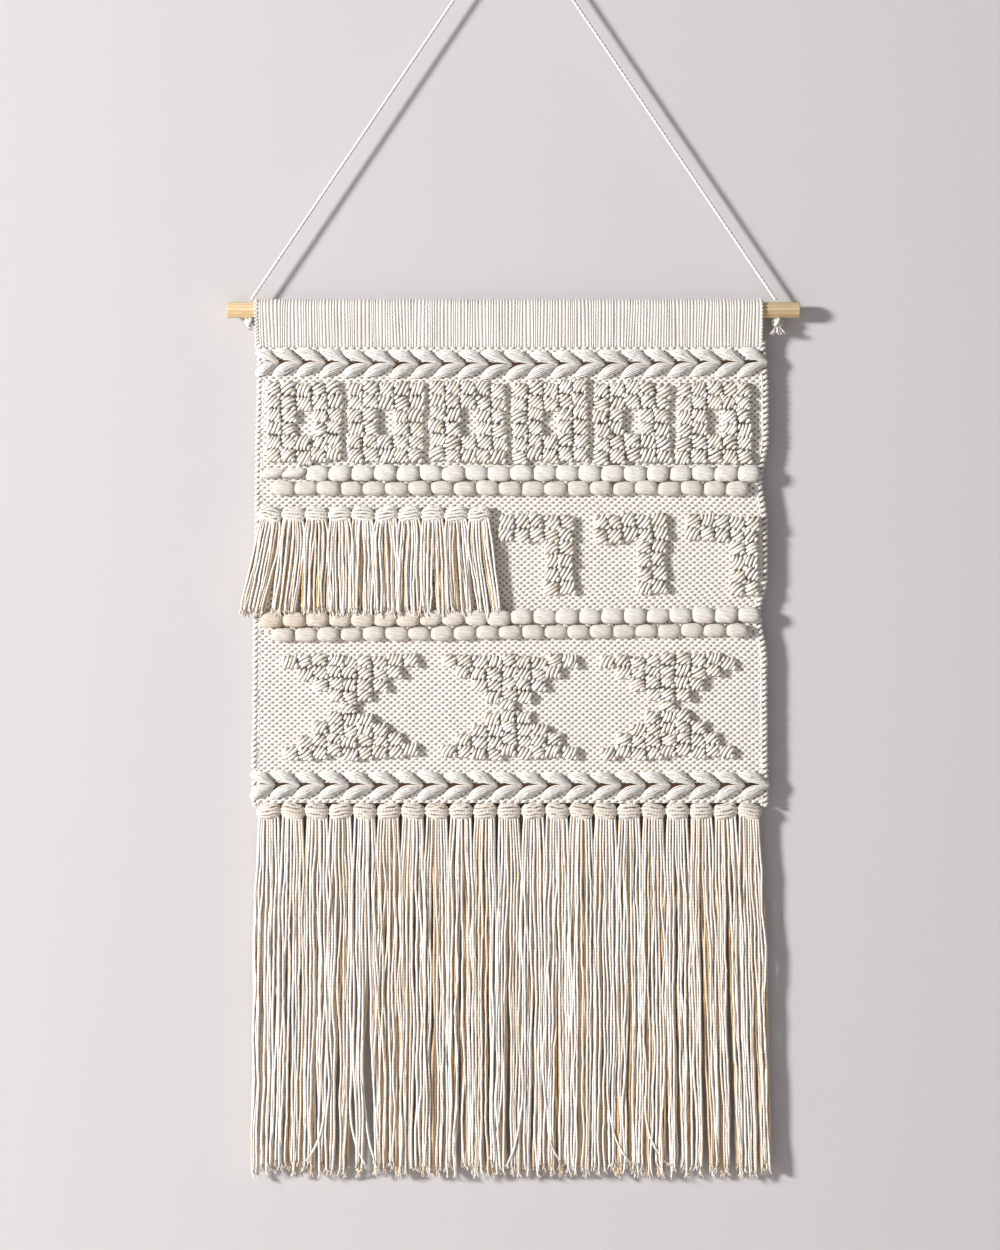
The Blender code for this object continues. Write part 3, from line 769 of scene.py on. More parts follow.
class HANGING_OT_cord(bpy.types.Operator):
    """Lay up the twisted hanging cord over the nail"""

    bl_idname = "hanging.cord"
    bl_label = "Hanging cord"

    def execute(self, context):
        sizes, colours = context.scene.hanging_sizes, context.scene.hanging_colours
        left = list(CORD_HALF_ROUTE)
        right = [(-x, z) for x, z in reversed(left)]
        path = smooth_curve([(x, 0, z) for x, z in left + [CORD_BIGHT] + right], 40)
        section = lobed_section(3, 0.30, 12)
        mesh = yarn_mesh(
            "twisted_cord", [cord_yarn(path, sizes.cord / 2, sizes.cord_twist)], section=section
        )
        bpy.data.objects.remove(section)
        twine = yarn_material(
            "laid_twine", colours.white, colours.beige, colours.canvas_crease_shade, sizes.cord_twist, 3.0, top=0.8
        )
        cord = add_piece("twisted_cord", mesh, "hanger", "cotton_twine", twine, "hanging_cord")
        knots = make_cord_knots(sizes, twine)
        return {"FINISHED"}


def make_cord_knots(sizes, twine):
    """The overhand knot under each end of the rod, with the cord's stretch through the rod and its tail."""
    radius = sizes.cord / 2
    knots = []
    for side, number, spread, tail in (("left", 1, 0.0016, 0.0048), ("right", 2, 0.0060, 0.0085)):
        node = f"{side}_cord_knot"
        low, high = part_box(node)
        middle = (low + high) / 2
        rod_under = ROD_LOW.z
        knot_radius = (high.x - low.x) / 2 - radius
        knot_z = rod_under - 0.0034
        through = [Vector((middle.x, 0, z)) for z in (high.z - radius, ROD_CENTRE.z, rod_under, knot_z)]
        yarns = [cord_yarn(smooth_curve(through, 8), radius, sizes.cord_twist)]
        loop = []
        for step in range(61):
            t = math.tau * step / 60 + 0.4 * number
            x = math.sin(t) + 2 * math.sin(2 * t)
            y = math.cos(t) - 2 * math.cos(2 * t)
            loop.append(
                Vector((middle.x, 0, knot_z))
                + Vector((x * knot_radius / 3, 0.8 * y * knot_radius / 3, -0.0021 * math.sin(3 * t)))
            )
        yarns.append(cord_yarn(loop, radius, sizes.cord_twist, 0.2))
        section = lobed_section(3, 0.30, 12)
        laid = yarn_mesh(node, yarns, section=section)
        bpy.data.objects.remove(section)
        draw = random.Random(40 + number)
        frayed = []
        for strand in range(26):
            angle, out = draw.uniform(0, math.tau), draw.uniform(0.2, 1.0)
            end = Vector((spread * out * math.cos(angle), 0.7 * spread * out * math.sin(angle), 0))
            drop = tail * draw.uniform(0.7, 1.05)
            start = Vector((middle.x, 0, knot_z - 0.0015)) + end * 0.25
            points = [
                start + end * share**1.5 + Vector((0, 0, -drop * share)) + wiggle(draw, 0.0003)
                for share in (0, 0.3, 0.6, 0.85, 1)
            ]
            frayed.append(yarn(points, 0.00045, strand=draw.random(), shade=0.1))
        mesh = joined(node, laid, yarn_mesh(node, frayed, detail=0))
        knots.append(add_piece(f"{side}_overhand_knot", mesh, "rod", "cotton_twine", twine, node))
    return knots


def wiggle(draw, reach):
    return Vector((draw.uniform(-reach, reach), draw.uniform(-reach, reach), draw.uniform(-reach, reach)))


class HANGING_OT_rod(bpy.types.Operator):
    """Turn the pine dowel and drill its two cord holes"""

    bl_idname = "hanging.rod"
    bl_label = "Wooden rod"

    def execute(self, context):
        round_over, steps = 0.0005, 64
        half = (ROD_HIGH.x - ROD_LOW.x) / 2
        bm = bmesh.new()
        points = [(-half, 0), (-half, ROD_RADIUS), (half, ROD_RADIUS), (half, 0)]
        verts = [bm.verts.new((x, 0, z)) for x, z in points]
        edges = [bm.edges.new(pair) for pair in zip(verts, verts[1:])]
        bmesh.ops.spin(
            bm,
            geom=verts + edges,
            cent=(0, 0, 0),
            axis=(1, 0, 0),
            angle=math.tau,
            steps=steps,
            use_merge=True,
        )
        bmesh.ops.remove_doubles(bm, verts=bm.verts, dist=1e-6)
        bmesh.ops.recalc_face_normals(bm, faces=bm.faces)
        rims = [
            edge
            for edge in bm.edges
            if edge.verts[0].co.x == edge.verts[1].co.x
            and all(v.co.yz.length > 0.9 * ROD_RADIUS for v in edge.verts)
        ]
        bmesh.ops.bevel(
            bm, geom=rims, offset=round_over, affect="EDGES", segments=3, profile=0.5, material=-1
        )
        bmesh.ops.translate(bm, verts=bm.verts, vec=ROD_CENTRE)
        rod = add_piece("pine_rod", finished_mesh("pine_rod", bm), "rod", "pine",
                        pine_material(context.scene.hanging_colours), "dowel")
        for side in ("left", "right"):
            low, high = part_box(f"{side}_cord_knot")
            hole = bmesh.new()
            drill = 1.35 * context.scene.hanging_sizes.cord / 2
            bmesh.ops.create_cone(
                hole, cap_ends=True, segments=24, radius1=drill, radius2=drill, depth=4 * ROD_RADIUS
            )
            bmesh.ops.translate(hole, verts=hole.verts, vec=((low.x + high.x) / 2, 0, ROD_CENTRE.z))
            cutter = bpy.data.objects.new("drill", finished_mesh("drill", hole))
            context.scene.collection.objects.link(cutter)
            cut = rod.modifiers.new("hole", "BOOLEAN")
            cut.object, cut.solver = cutter, "EXACT"
            graph = context.evaluated_depsgraph_get()
            drilled = bpy.data.meshes.new_from_object(rod.evaluated_get(graph))
            rod.modifiers.clear()
            rod.data = drilled
            bpy.data.objects.remove(cutter)
        rod.data.shade_smooth()
        rod.data.set_sharp_from_angle(angle=math.radians(40))
        return {"FINISHED"}


def braid_leaf(outer, tip, yarn_radius, count, depth, draw):
    """One leaf of the braid: yarns side by side that fan out and draw in to a point at both ends."""
    run = tip - outer
    across = Vector((-run.z, 0, run.x)).normalized()
    steps = 12
    spacing = 1.50 * yarn_radius
    leaf = []
    for number in range(-1, count):
        # The core is a thick yarn laid under the middle of the leaf, coloured as painted shade under the leaf.
        core = number < 0
        place = 0.0 if core else number - (count - 1) / 2
        edge = 2 * place / (count - 1)
        points, radii = [], []
        for step in range(steps + 1):
            share = step / steps
            full = math.sin(math.pi * (0.05 + 0.92 * share) ** 0.8)
            rise = (depth - 2 * yarn_radius) * (0.66 + 0.36 * share)
            back = FRONT_Y - yarn_radius - rise * full * math.sqrt(1 - 0.8 * edge**2)
            bow = 0.0016 * math.sin(math.pi * share)
            point = outer + run * share + across * (place * spacing * full + bow)
            point += across * wander(4 * share, place + outer.x * 90, 0.0003)
            face_y = back + (yarn_radius * 2.4 if core else 0.0) + draw.uniform(-1, 1) * 0.0002
            point.y = face_y + (number % 2) * 0.0002
            points.append(point)
            radii.append((2.1 if core else 1.0) * (0.4 + 0.6 * full))
        taper = lambda share, radii=radii: radii[round(share * steps)]
        # Painted shade: the core and the leaf's outer yarns take more of the shaded colour.
        shade = 0.8 if core else 0.02 + 0.25 * abs(edge) + draw.uniform(0, 0.15)
        leaf.append(yarn(points, yarn_radius, strand=draw.random(), shade=shade, taper=taper))
    return leaf


class HANGING_OT_braids(bpy.types.Operator):
    """Work the two braids, each a pair of rows of slanting leaves"""

    bl_idname = "hanging.braids"
    bl_label = "Braids"

    def execute(self, context):
        sizes, colours = context.scene.hanging_sizes, context.scene.hanging_colours
        cotton = yarn_material(
            "braid_yarn", colours.white, colours.beige, colours.pile_crease_shade, 0.02, 1.0, relief=0.0001, top=0.9
        )
        # A painted shadow: dark yarns along each braid's middle, seen in the gaps between the leaves' tips.
        shadow_bed = yarn_material("braid_shadow_bed", colours.pile_crease_shade, colours.pile_crease_shade, colours.pile_crease_shade, 0.02, 1.0)
        depth, reach, overhang = 0.0064, 0.0232, 0.0030
        leaf_yarns, half_gap = 7, 0.0004
        shadow_bed_radius, shadow_bed_rise, shadow_bed_drops = 0.0008, 0.0006, (-0.0017, -0.0006, 0.0006, 0.0017)
        for place, count, sag in (("top", 22, 0.0020), ("bottom", 21, 0.0004)):
            upper_low, upper_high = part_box(f"{place}_braid_upper_row")
            lower_low, lower_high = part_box(f"{place}_braid_lower_row")
            middle = (upper_low.z + lower_high.z) / 2
            left, right = left_edge_x(middle) - overhang, right_edge_x(middle) + overhang
            pitch = (right - left) / count
            for row, side, half in (
                ("upper", 1, upper_high.z - middle),
                ("lower", -1, middle - lower_low.z),
            ):
                draw = random.Random(100 + count + side)
                yarns = []
                for number in range(count):
                    x = left + (number + 1) * pitch
                    droop = -sag * math.sin(math.pi * (number + 0.5) / count)
                    tip = Vector((x, 0, middle + side * half_gap + droop))
                    start = max(left, x - reach * draw.uniform(0.95, 1.05))
                    outer = Vector((start, 0, middle + side * half * draw.uniform(0.66, 0.78) + droop))
                    rise = depth * draw.uniform(0.92, 1.05)
                    yarns += braid_leaf(outer, tip, sizes.braid_yarn, leaf_yarns, rise, draw)
                node = f"{place}_braid_{row}_row"
                mesh = yarn_mesh(node, yarns)
                add_piece(f"{place}_braid_{row}_leaves", mesh, "cloth", "braid_cotton", cotton, node)
            # Painted shadow: the dark bed yarns under the braid.
            shadow_beds = []
            for drop in shadow_bed_drops:
                line = []
                for step in range(2 * count - 1):
                    droop = -sag * math.sin(math.pi * (step + 1) / (2 * count))
                    x = left + (step + 1) * pitch / 2
                    line.append(Vector((x, FRONT_Y - shadow_bed_rise, middle + drop + droop)))
                shadow_beds.append(yarn(line, shadow_bed_radius, strand=0.0))
            add_piece(f"{place}_braid_shadow_bed", yarn_mesh(f"{place}_bed", shadow_beds), "cloth", "braid_cotton", shadow_bed)
        return {"FINISHED"}


class HANGING_OT_rovings(bpy.types.Operator):
    """Lay in the four rows of plump roving and the threads that tie them down"""

    bl_idname = "hanging.rovings"
    bl_label = "Rovings"

    def execute(self, context):
        colours = context.scene.hanging_colours
        rovings = {
            "white": cloth_material(
                "white_puffs", colours.white, colours.tan, colours.canvas_crease_shade, (0.20, 0.8, 1), 950.0, 0.0011
            ),
            "beige": cloth_material(
                "beige_puffs", colours.beige, colours.tan, colours.canvas_crease_shade, (0.20, 0.8, 1), 950.0, 0.0011
            ),
        }
        ties = yarn_material("tie_thread", colours.white, colours.beige, colours.canvas_crease_shade, 0.003, 2.0)
        count, rise = 22, 0.0040
        tie_radius = 0.00042
        tie_arch = ((-1.05, 0.0), (-0.8, 0.0018), (0, 0.0026), (0.8, 0.0018), (1.05, 0.0))
        half_puff, puff_depth, ridges, groove = 0.545, 0.0040, 13, 0.06
        plumpness = {"white": 1.20, "beige": 1.06}
        for place in ("upper", "lower"):
            for row, phase in (("white", 0), ("beige", 1)):
                node = f"{place}_roving_{row}_row"
                low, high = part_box(node)
                lift = rise if place == "lower" else 0.0
                left, right = LEFT_EDGE + 0.0030, RIGHT_EDGE - 0.0010
                pitch = (right - left) / count
                half_height = (high.z - low.z - lift) / 2
                middle = (low.z + high.z) / 2
                draw = random.Random(200 + 2 * len(place) + phase + 7 * (place == "lower"))
                bm = bmesh.new()
                layers = relief_layers(bm)
                threads = []
                for number in range(count - phase + 1):
                    edge_x = left + (number + phase / 2) * pitch
                    z = middle + lift * (edge_x / CLOTH_WIDTH)
                    tie = [
                        Vector(
                            (edge_x + draw.uniform(-1, 1) * 0.0004, FRONT_Y - depth, z + share * half_height)
                        )
                        for share, depth in tie_arch
                    ]
                    threads.append(yarn(tie, tie_radius, strand=draw.random()))
                    if number == count - phase:
                        continue
                    thin = number < 2 and place == "upper" and row == "white"
                    plump = plumpness[row]
                    half = Vector(
                        (
                            half_puff * pitch * draw.uniform(0.95, 1.02),
                            puff_depth * draw.uniform(0.85, 1.1),
                            plump * half_height * draw.uniform(0.93, 1.07) * (0.62 if thin else 1.0),
                        )
                    )
                    up = 0.0008 if row == "white" else 0.0
                    centre_z = z + up + draw.uniform(-1, 1) * 0.0004
                    centre = Vector((edge_x + pitch / 2, FRONT_Y - 0.9 * half.y, centre_z))
                    lean = 0.75 if thin else draw.uniform(-0.08, 0.16)
                    tinted = place == "lower" and row == "white"
                    tint = max(0.1, 0.55 - 0.035 * number) if tinted else 0.0
                    seed = number + 31 * phase + len(place)
                    pillow(bm, layers, centre, half, ridges, groove, lean, seed, tint)
                add_piece(
                    f"{place}_roving_{row}_puffs",
                    finished_mesh(node, bm),
                    "cloth",
                    f"{row}_roving",
                    rovings[row],
                    node,
                )
                add_piece(
                    f"{place}_roving_{row}_ties",
                    yarn_mesh(f"{node}_ties", threads, detail=0),
                    "cloth",
                    f"{row}_roving",
                    ties,
                )
        return {"FINISHED"}


def pile_cell(x, z, width, height, depth, radius, draw):
    """One tuft of loop pile: slanting loops of yarn side by side that fill an upright oblong."""
    slope = math.radians(draw.uniform(26, 68))
    along = Vector((math.cos(slope), 0, math.sin(slope)))
    across = Vector((math.sin(slope), 0, -math.cos(slope)))
    extent = width * math.sin(slope) + height * math.cos(slope)
    count = round(extent / (2.15 * radius))
    rise = depth * draw.uniform(0.95, 1.35)
    curl = draw.choice((-1, 1, 1)) * draw.uniform(0.0004, 0.0014)
    half_width, half_height = 0.47 * width, 0.50 * height
    loops = []
    for number in range(count):
        place = (number - (count - 1) / 2) / count
        offset = across * (place * extent * 0.94)
        start = max((-half_width - offset.x) / along.x, (-half_height - offset.z) / along.z)
        end = min((half_width - offset.x) / along.x, (half_height - offset.z) / along.z)
        half = (end - start) / 2 * draw.uniform(0.88, 1.08)
        if half < 0.9 * radius:
            continue
        centre = Vector((x, 0, z)) + offset + along * (start + end) / 2 + wiggle(draw, 0.0004)
        mound = 1 - 0.9 * place**2 + draw.uniform(-0.10, 0.10)
        skew = draw.uniform(-0.25, 0.25)
        points = []
        for step in range(9):
            angle = math.pi * step / 8
            point = centre - along * half * math.cos(angle) + across * curl * math.sin(angle)
            lift = math.sin(angle + skew * math.sin(angle))
            point.y = FRONT_Y + 0.0006 - radius - (rise * mound - radius) * lift**0.85
            points.append(point)
        taper = lambda share: 0.66 + 0.42 * math.sin(math.pi * share)
        loops.append(
            yarn(points, radius, strand=draw.random(), shade=draw.uniform(0.0, 0.55), taper=taper)
        )
    return loops


def hourglass_pattern():
    """Rows of pile that narrow to one cell at the waist and widen again."""
    waist = HOURGLASS_ROWS // 2
    rows = []
    for row in range(HOURGLASS_ROWS):
        bare = "." * (waist - abs(row - waist))
        rows.append(bare + "#" * (HOURGLASS_ROWS - 2 * len(bare)) + bare)
    return tuple(rows)


class HANGING_OT_motifs(bpy.types.Operator):
    """Hook the loop pile of the twelve motifs"""

    bl_idname = "hanging.motifs"
    bl_label = "Loop pile motifs"

    def execute(self, context):
        sizes, colours = context.scene.hanging_sizes, context.scene.hanging_colours
        pile = yarn_material(
            "pile_yarn", colours.cream, colours.pile, colours.pile_crease_shade, 0.009, 2.0, relief=0.00022, top=0.95
        )
        kinds = (("frame", FRAME_PATTERN), ("seven", SEVEN_PATTERN), ("hourglass", hourglass_pattern()))
        for seed, (kind, pattern) in enumerate(kinds):
            nodes = sorted(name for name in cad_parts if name.startswith(f"{kind}_motif_"))
            for number, node in enumerate(nodes):
                low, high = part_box(node)
                draw = random.Random(300 + 20 * seed + number)
                rows, columns = len(pattern), len(pattern[0])
                width, height = (high.x - low.x) / columns, (high.z - low.z) / rows
                loops = []
                slips = [draw.uniform(-1, 1) * 0.0014 for column in range(columns)]
                for row in range(rows):
                    for column in range(columns):
                        if pattern[row][column] == ".":
                            continue
                        x = low.x + (column + 0.5) * width + draw.uniform(-1, 1) * 0.0007
                        z = high.z - (row + 0.5) * height + slips[column] + draw.uniform(-1, 1) * 0.0008
                        loops += pile_cell(x, z, width, height, high.y - low.y, sizes.loop_yarn, draw)
                mesh = yarn_mesh(node, loops, detail=2)
                add_piece(f"{kind}_pile_{number + 1}", mesh, "cloth", "loop_pile", pile, node)
        return {"FINISHED"}


def fringe_yarn(start, reach, drift, radius, steps, seeds, look, draw):
    """One hanging yarn, a little crimped, with a frayed tip.

    It moves sideways by reach.x near its knot and by drift on its way down to the height reach.z.
    """
    seed, group = seeds
    shade, stray, group_sway = look
    points = []
    length = start.z - reach.z
    sway, crimp = draw.uniform(0.0008, 0.0024), draw.uniform(0.00025, 0.0006)
    for step in range(steps + 1):
        share = step / steps
        place = share * length
        free = min(1.0, 6 * share)
        point = Vector((start.x, start.y + (reach.y - start.y) * share, start.z - place))
        point.x += reach.x * (1 - (1 - share) ** 6) + drift * share**1.2
        point.x += free * (wander(26 * place, seed, sway) + wander(150 * place, seed + 3, crimp))
        point.x += free * wander(17 * place, group, group_sway)
        point.y += free * (wander(31 * place, seed + 9, 0.6 * sway) + wander(140 * place, seed + 5, crimp))
        curl = max(0.0, share - 0.78) / 0.22
        point.x += stray * curl**2
        point.z += abs(stray) * 0.5 * curl**3
        points.append(point)
    strand = draw.random()
    yarns = [yarn(points, radius * draw.uniform(0.88, 1.08), strand=strand, shade=shade)]
    tip, aim = points[-1], (points[-1] - points[-2]).normalized()
    fibres = []
    for _ in range(4):
        lean = wiggle(draw, 1.0)
        lean.z = 0
        out = (aim + 0.55 * lean).normalized()
        long = draw.uniform(0.0020, 0.0052)
        fibres.append(
            yarn(
                [tip - aim * 0.001, tip + out * long * 0.5, tip + out * long + wiggle(draw, 0.0004)],
                radius * 0.42,
                strand=strand,
                # The frayed fibres take less of the painted shade.
                shade=shade * 0.6,
            )
        )
    return yarns, fibres


class HANGING_OT_short_tassels(bpy.types.Operator):
    """Knot the short fringe on the face of the cloth"""

    bl_idname = "hanging.short_tassels"
    bl_label = "Short tassels"

    def execute(self, context):
        make_fringe(context, "short", SHORT_COUNT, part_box("short_tassel_02"), (9, 8, 6), 20, -0.0190, 0.0100)
        return {"FINISHED"}


class HANGING_OT_long_tassels(bpy.types.Operator):
    """Knot the long fringe along the lower edge of the cloth"""

    bl_idname = "hanging.long_tassels"
    bl_label = "Long tassels"

    def execute(self, context):
        make_fringe(context, "long", LONG_COUNT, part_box("long_tassel_02"), (8, 7, 6), 54, -0.0050, 0.0110)
        return {"FINISHED"}


def make_fringe(context, kind, count, sample, layers, steps, drift_left, drift_right):
    """A line of tassels. Their tips drift outwards towards both ends of the line."""
    sizes, colours = context.scene.hanging_sizes, context.scene.hanging_colours
    name = "fringe_yarn"
    cotton = bpy.data.materials.get(name) or yarn_material(
        name, colours.cream, colours.golden, colours.golden_crease_shade, 0.0055, 2.0, relief=0.00022, top=0.85
    )
    wrapping = yarn_material(
        f"{kind}_wrapping",
        colours.white if kind == "short" else colours.beige,
        colours.tan,
        colours.canvas_crease_shade if kind == "short" else colours.golden_crease_shade,
        0.0055,
        2.0,
        relief=0.00022,
        top=0.9,
    )
    low, high = sample
    width = high.x - low.x
    first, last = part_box(f"{kind}_tassel_01"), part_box(f"{kind}_tassel_{count:02d}")
    knot_left = first[1].x - width
    knot_right = last[0].x + width
    pitch = (knot_right - knot_left - width) / (count - 1)
    knot_radius = 0.0042 if kind == "short" else 0.0062
    knot_z = high.z - knot_radius
    knot_y = (low.y + high.y) / 2
    radius = sizes.fringe_yarn
    for number in range(count):
        node = f"{kind}_tassel_{number + 1:02d}"
        draw = random.Random((500 if kind == "short" else 700) + number)
        x = knot_left + width / 2 + number * pitch
        share = (number + 0.5) / count
        drift = drift_left * max(0.0, 1 - 3.2 * share) ** 1.6
        drift += drift_right * max(0.0, 3.2 * share - 2.2) ** 1.6
        yarns, fibres = [], []
        parted = kind == "long" and number == 4
        clumps = [draw.uniform(-0.42, -0.18) * pitch, draw.uniform(0.16, 0.42) * pitch]
        clumps = [-0.22 * pitch, 0.56 * pitch] if parted else clumps
        pull = 0.7 if parted else draw.uniform(0.15, 0.45)
        sway = draw.uniform(0.0010, 0.0022)
        for layer, columns in enumerate(layers):
            thick = radius * (1.0, 1.12, 1.4)[layer]
            for column in range(columns):
                across = (column + 0.5 + draw.uniform(-0.32, 0.32)) / columns - 0.5
                depth = (layer - (len(layers) - 1) / 2) * 1.9 * radius + draw.uniform(-1, 1) * 0.0005
                start = Vector((x + 0.88 * across * width, knot_y + 0.9 * depth, knot_z - 0.55 * knot_radius))
                tip_z = low.z + draw.uniform(-0.0030, 0.0075 if kind == "long" else 0.0030)
                spread = across * (pitch + 0.0035)
                nearest = min(clumps, key=lambda clump: abs(clump - spread))
                hang_x = x + spread - start.x
                tip_x = drift + pull * (nearest - spread) + draw.uniform(-1, 1) * 0.0012
                end_y = knot_y + depth * draw.uniform(0.8, 1.2)
                # Painted shade: the middle and back layers take the golden shaded colour, and a few strands at
                # random do too.
                shade = max(0.0, (0.0, 0.66, 0.22)[layer] + draw.uniform(-0.15, 0.30) ** 3 * 15)
                stray = 0.0
                if kind == "long" and layer == 0 and draw.random() < 0.06:
                    stray = draw.choice((-1, 1)) * draw.uniform(0.006, 0.018)
                one, tuft = fringe_yarn(
                    start,
                    Vector((hang_x, end_y, tip_z)),
                    tip_x,
                    thick,
                    steps,
                    (seed_of(number, layer, column), number + 40),
                    (min(1.0, shade), stray, sway),
                    draw,
                )
                yarns += one
                fibres += tuft
        strands = joined(node, yarn_mesh(node, yarns), yarn_mesh(node, fibres, detail=0))
        add_piece(f"{kind}_fringe_{number + 1:02d}", strands, node, "fringe_cotton", cotton, node)
        knot = yarn_mesh(node, wrapped_knot(x, knot_y, knot_z, width, knot_radius, kind == "short", draw))
        holder = "cloth" if kind == "short" else node
        add_piece(f"{kind}_knot_{number + 1:02d}", knot, holder, "fringe_cotton", wrapping)


def seed_of(number, layer, column):
    return 0.37 * number + 1.9 * layer + 5.3 * column


def wrapped_knot(x, y, z, width, radius, domed, draw):
    """The head of a tassel: yarns wrapped side by side over its front, turned down at both sides."""
    wraps = []
    count = 6
    yarn_radius = (0.27 if domed else 0.215) * radius
    half = width / 2 + (0.0004 if domed else 0.0002)
    tall = (1.55 if domed else 1.10) * radius
    tilt = draw.uniform(-0.22, 0.22)
    for number in range(count):
        angle = math.radians(-74 + 150 * number / (count - 1))
        up = math.sin(angle)
        points = []
        for step in range(13):
            turn = math.pi * step / 12
            side = -math.cos(turn)
            flat = math.sin(turn) ** 0.55
            point = Vector(
                (
                    x + (half - yarn_radius * 0.4) * side * (1 - 0.30 * up * up),
                    y - (radius * 1.04 - yarn_radius) * math.cos(angle) * flat,
                    z + (tall - yarn_radius) * up * (0.80 + 0.20 * flat) + tilt * half * side * flat,
                )
            )
            if domed:
                point.z += 0.0012 * flat
            point.z += wander(0.5 * step, number + x * 90, 0.0010)
            points.append(point)
        wraps.append(yarn(points, yarn_radius, strand=draw.random(), shade=0.15 * draw.random()))
    core = [Vector((x + half * 0.86 * share, y + 0.0002, z)) for share in (-1, -0.5, 0, 0.5, 1)]
    wraps.append(yarn(core, radius * 0.72, strand=0.5, shade=0.5))
    return wraps


def coil(route, out, yarn_radius, coil_radius, pitch, per_turn, seed):
    """A yarn wound round a line: the turning weft along an edge. out points away from the cloth."""
    lengths = [0.0]
    for here, there in zip(route, route[1:]):
        lengths.append(lengths[-1] + (there - here).length)
    total = round(lengths[-1] / pitch * per_turn)
    points, index = [], 0
    for step in range(total + 1):
        distance = min(lengths[-1], step * pitch / per_turn)
        while index < len(route) - 2 and lengths[index + 1] < distance:
            index += 1
        share = (distance - lengths[index]) / (lengths[index + 1] - lengths[index])
        centre = route[index].lerp(route[index + 1], share)
        along = (route[index + 1] - route[index]).normalized()
        side = along.cross(out).normalized()
        angle = math.tau * step / per_turn
        reach = coil_radius * (1 + wander(distance * 170, seed, 0.35))
        points.append(centre + out * reach * math.cos(angle) + side * reach * math.sin(angle))
    return yarn(points, yarn_radius, strand=0.4, shade=0.02)


class HANGING_OT_selvedges(bpy.types.Operator):
    """Turn the weft round both edges of the cloth"""

    bl_idname = "hanging.selvedges"
    bl_label = "Selvedges"

    def execute(self, context):
        colours = context.scene.hanging_colours
        cotton = yarn_material(
            "selvedge_yarn", colours.white, colours.beige, colours.canvas_crease_shade, 0.004, 2.0, top=0.75
        )
        levels = [SEAM_Z + 0.004 + (LOWER_EDGE_Z - SEAM_Z - 0.006) * step / 90 for step in range(91)]
        for side, edge, out in (("left", left_edge_x, -1), ("right", right_edge_x, 1)):
            route = [Vector((edge(z) - out * 0.0002, CLOTH_Y, z)) for z in levels]
            turns = coil(route, Vector((out, 0, 0)), 0.00155, 0.0014, 0.0044, 10, 3 + out)
            warp = yarn([point - Vector((out * 0.0026, 0.0006, 0)) for point in route], 0.0013, shade=0.1)
            mesh = yarn_mesh(f"{side}_selvedge_turns", [turns, warp])
            add_piece(
                f"{side}_selvedge_turns", mesh, "cloth", "selvedge_cotton", cotton, f"{side}_selvedge"
            )
        return {"FINISHED"}


def sleeve_outline(radius, half_seam, steps):
    """Points (y, z) and outward normals from the seam at the front, over the rod, to the seam behind."""
    centre = Vector((ROD_CENTRE.y, ROD_CENTRE.z))
    corners, angles = [], []
    for side in (1, -1):
        corner = Vector((CLOTH_Y + side * half_seam, SEAM_Z))
        seam = corner - centre
        corners.append(corner)
        angles.append(math.atan2(seam.y, seam.x) + side * math.acos(radius / seam.length))
    back, front = angles[0], angles[1] + math.tau
    arc = [front + (back - front) * step / 60 for step in range(61)]
    dense = [corners[1]] + [centre + radius * Vector((math.cos(a), math.sin(a))) for a in arc] + [corners[0]]
    lengths = [0.0]
    for here, there in zip(dense, dense[1:]):
        lengths.append(lengths[-1] + (there - here).length)
    outline, index = [], 0
    for step in range(steps + 1):
        distance = lengths[-1] * step / steps
        while index < len(dense) - 2 and lengths[index + 1] < distance:
            index += 1
        share = (distance - lengths[index]) / (lengths[index + 1] - lengths[index])
        along = (dense[index + 1] - dense[index]).normalized()
        outline.append((dense[index].lerp(dense[index + 1], share), Vector((-along.y, along.x))))
    return outline, lengths[-1]


def two_sided_grid(columns, rows):
    """A bmesh of a sheet with a face side (z = 0) and a back side (z = 1), closed round its edges."""
    bm = bmesh.new()
    bmesh.ops.create_grid(bm, x_segments=columns, y_segments=rows, size=0.5)
    bmesh.ops.translate(bm, verts=bm.verts, vec=(0.5, 0.5, 0))
    grown = bmesh.ops.extrude_face_region(bm, geom=list(bm.faces))["geom"]
    moved = [item for item in grown if isinstance(item, bmesh.types.BMVert)]
    bmesh.ops.translate(bm, verts=moved, vec=(0, 0, 1))
    return bm


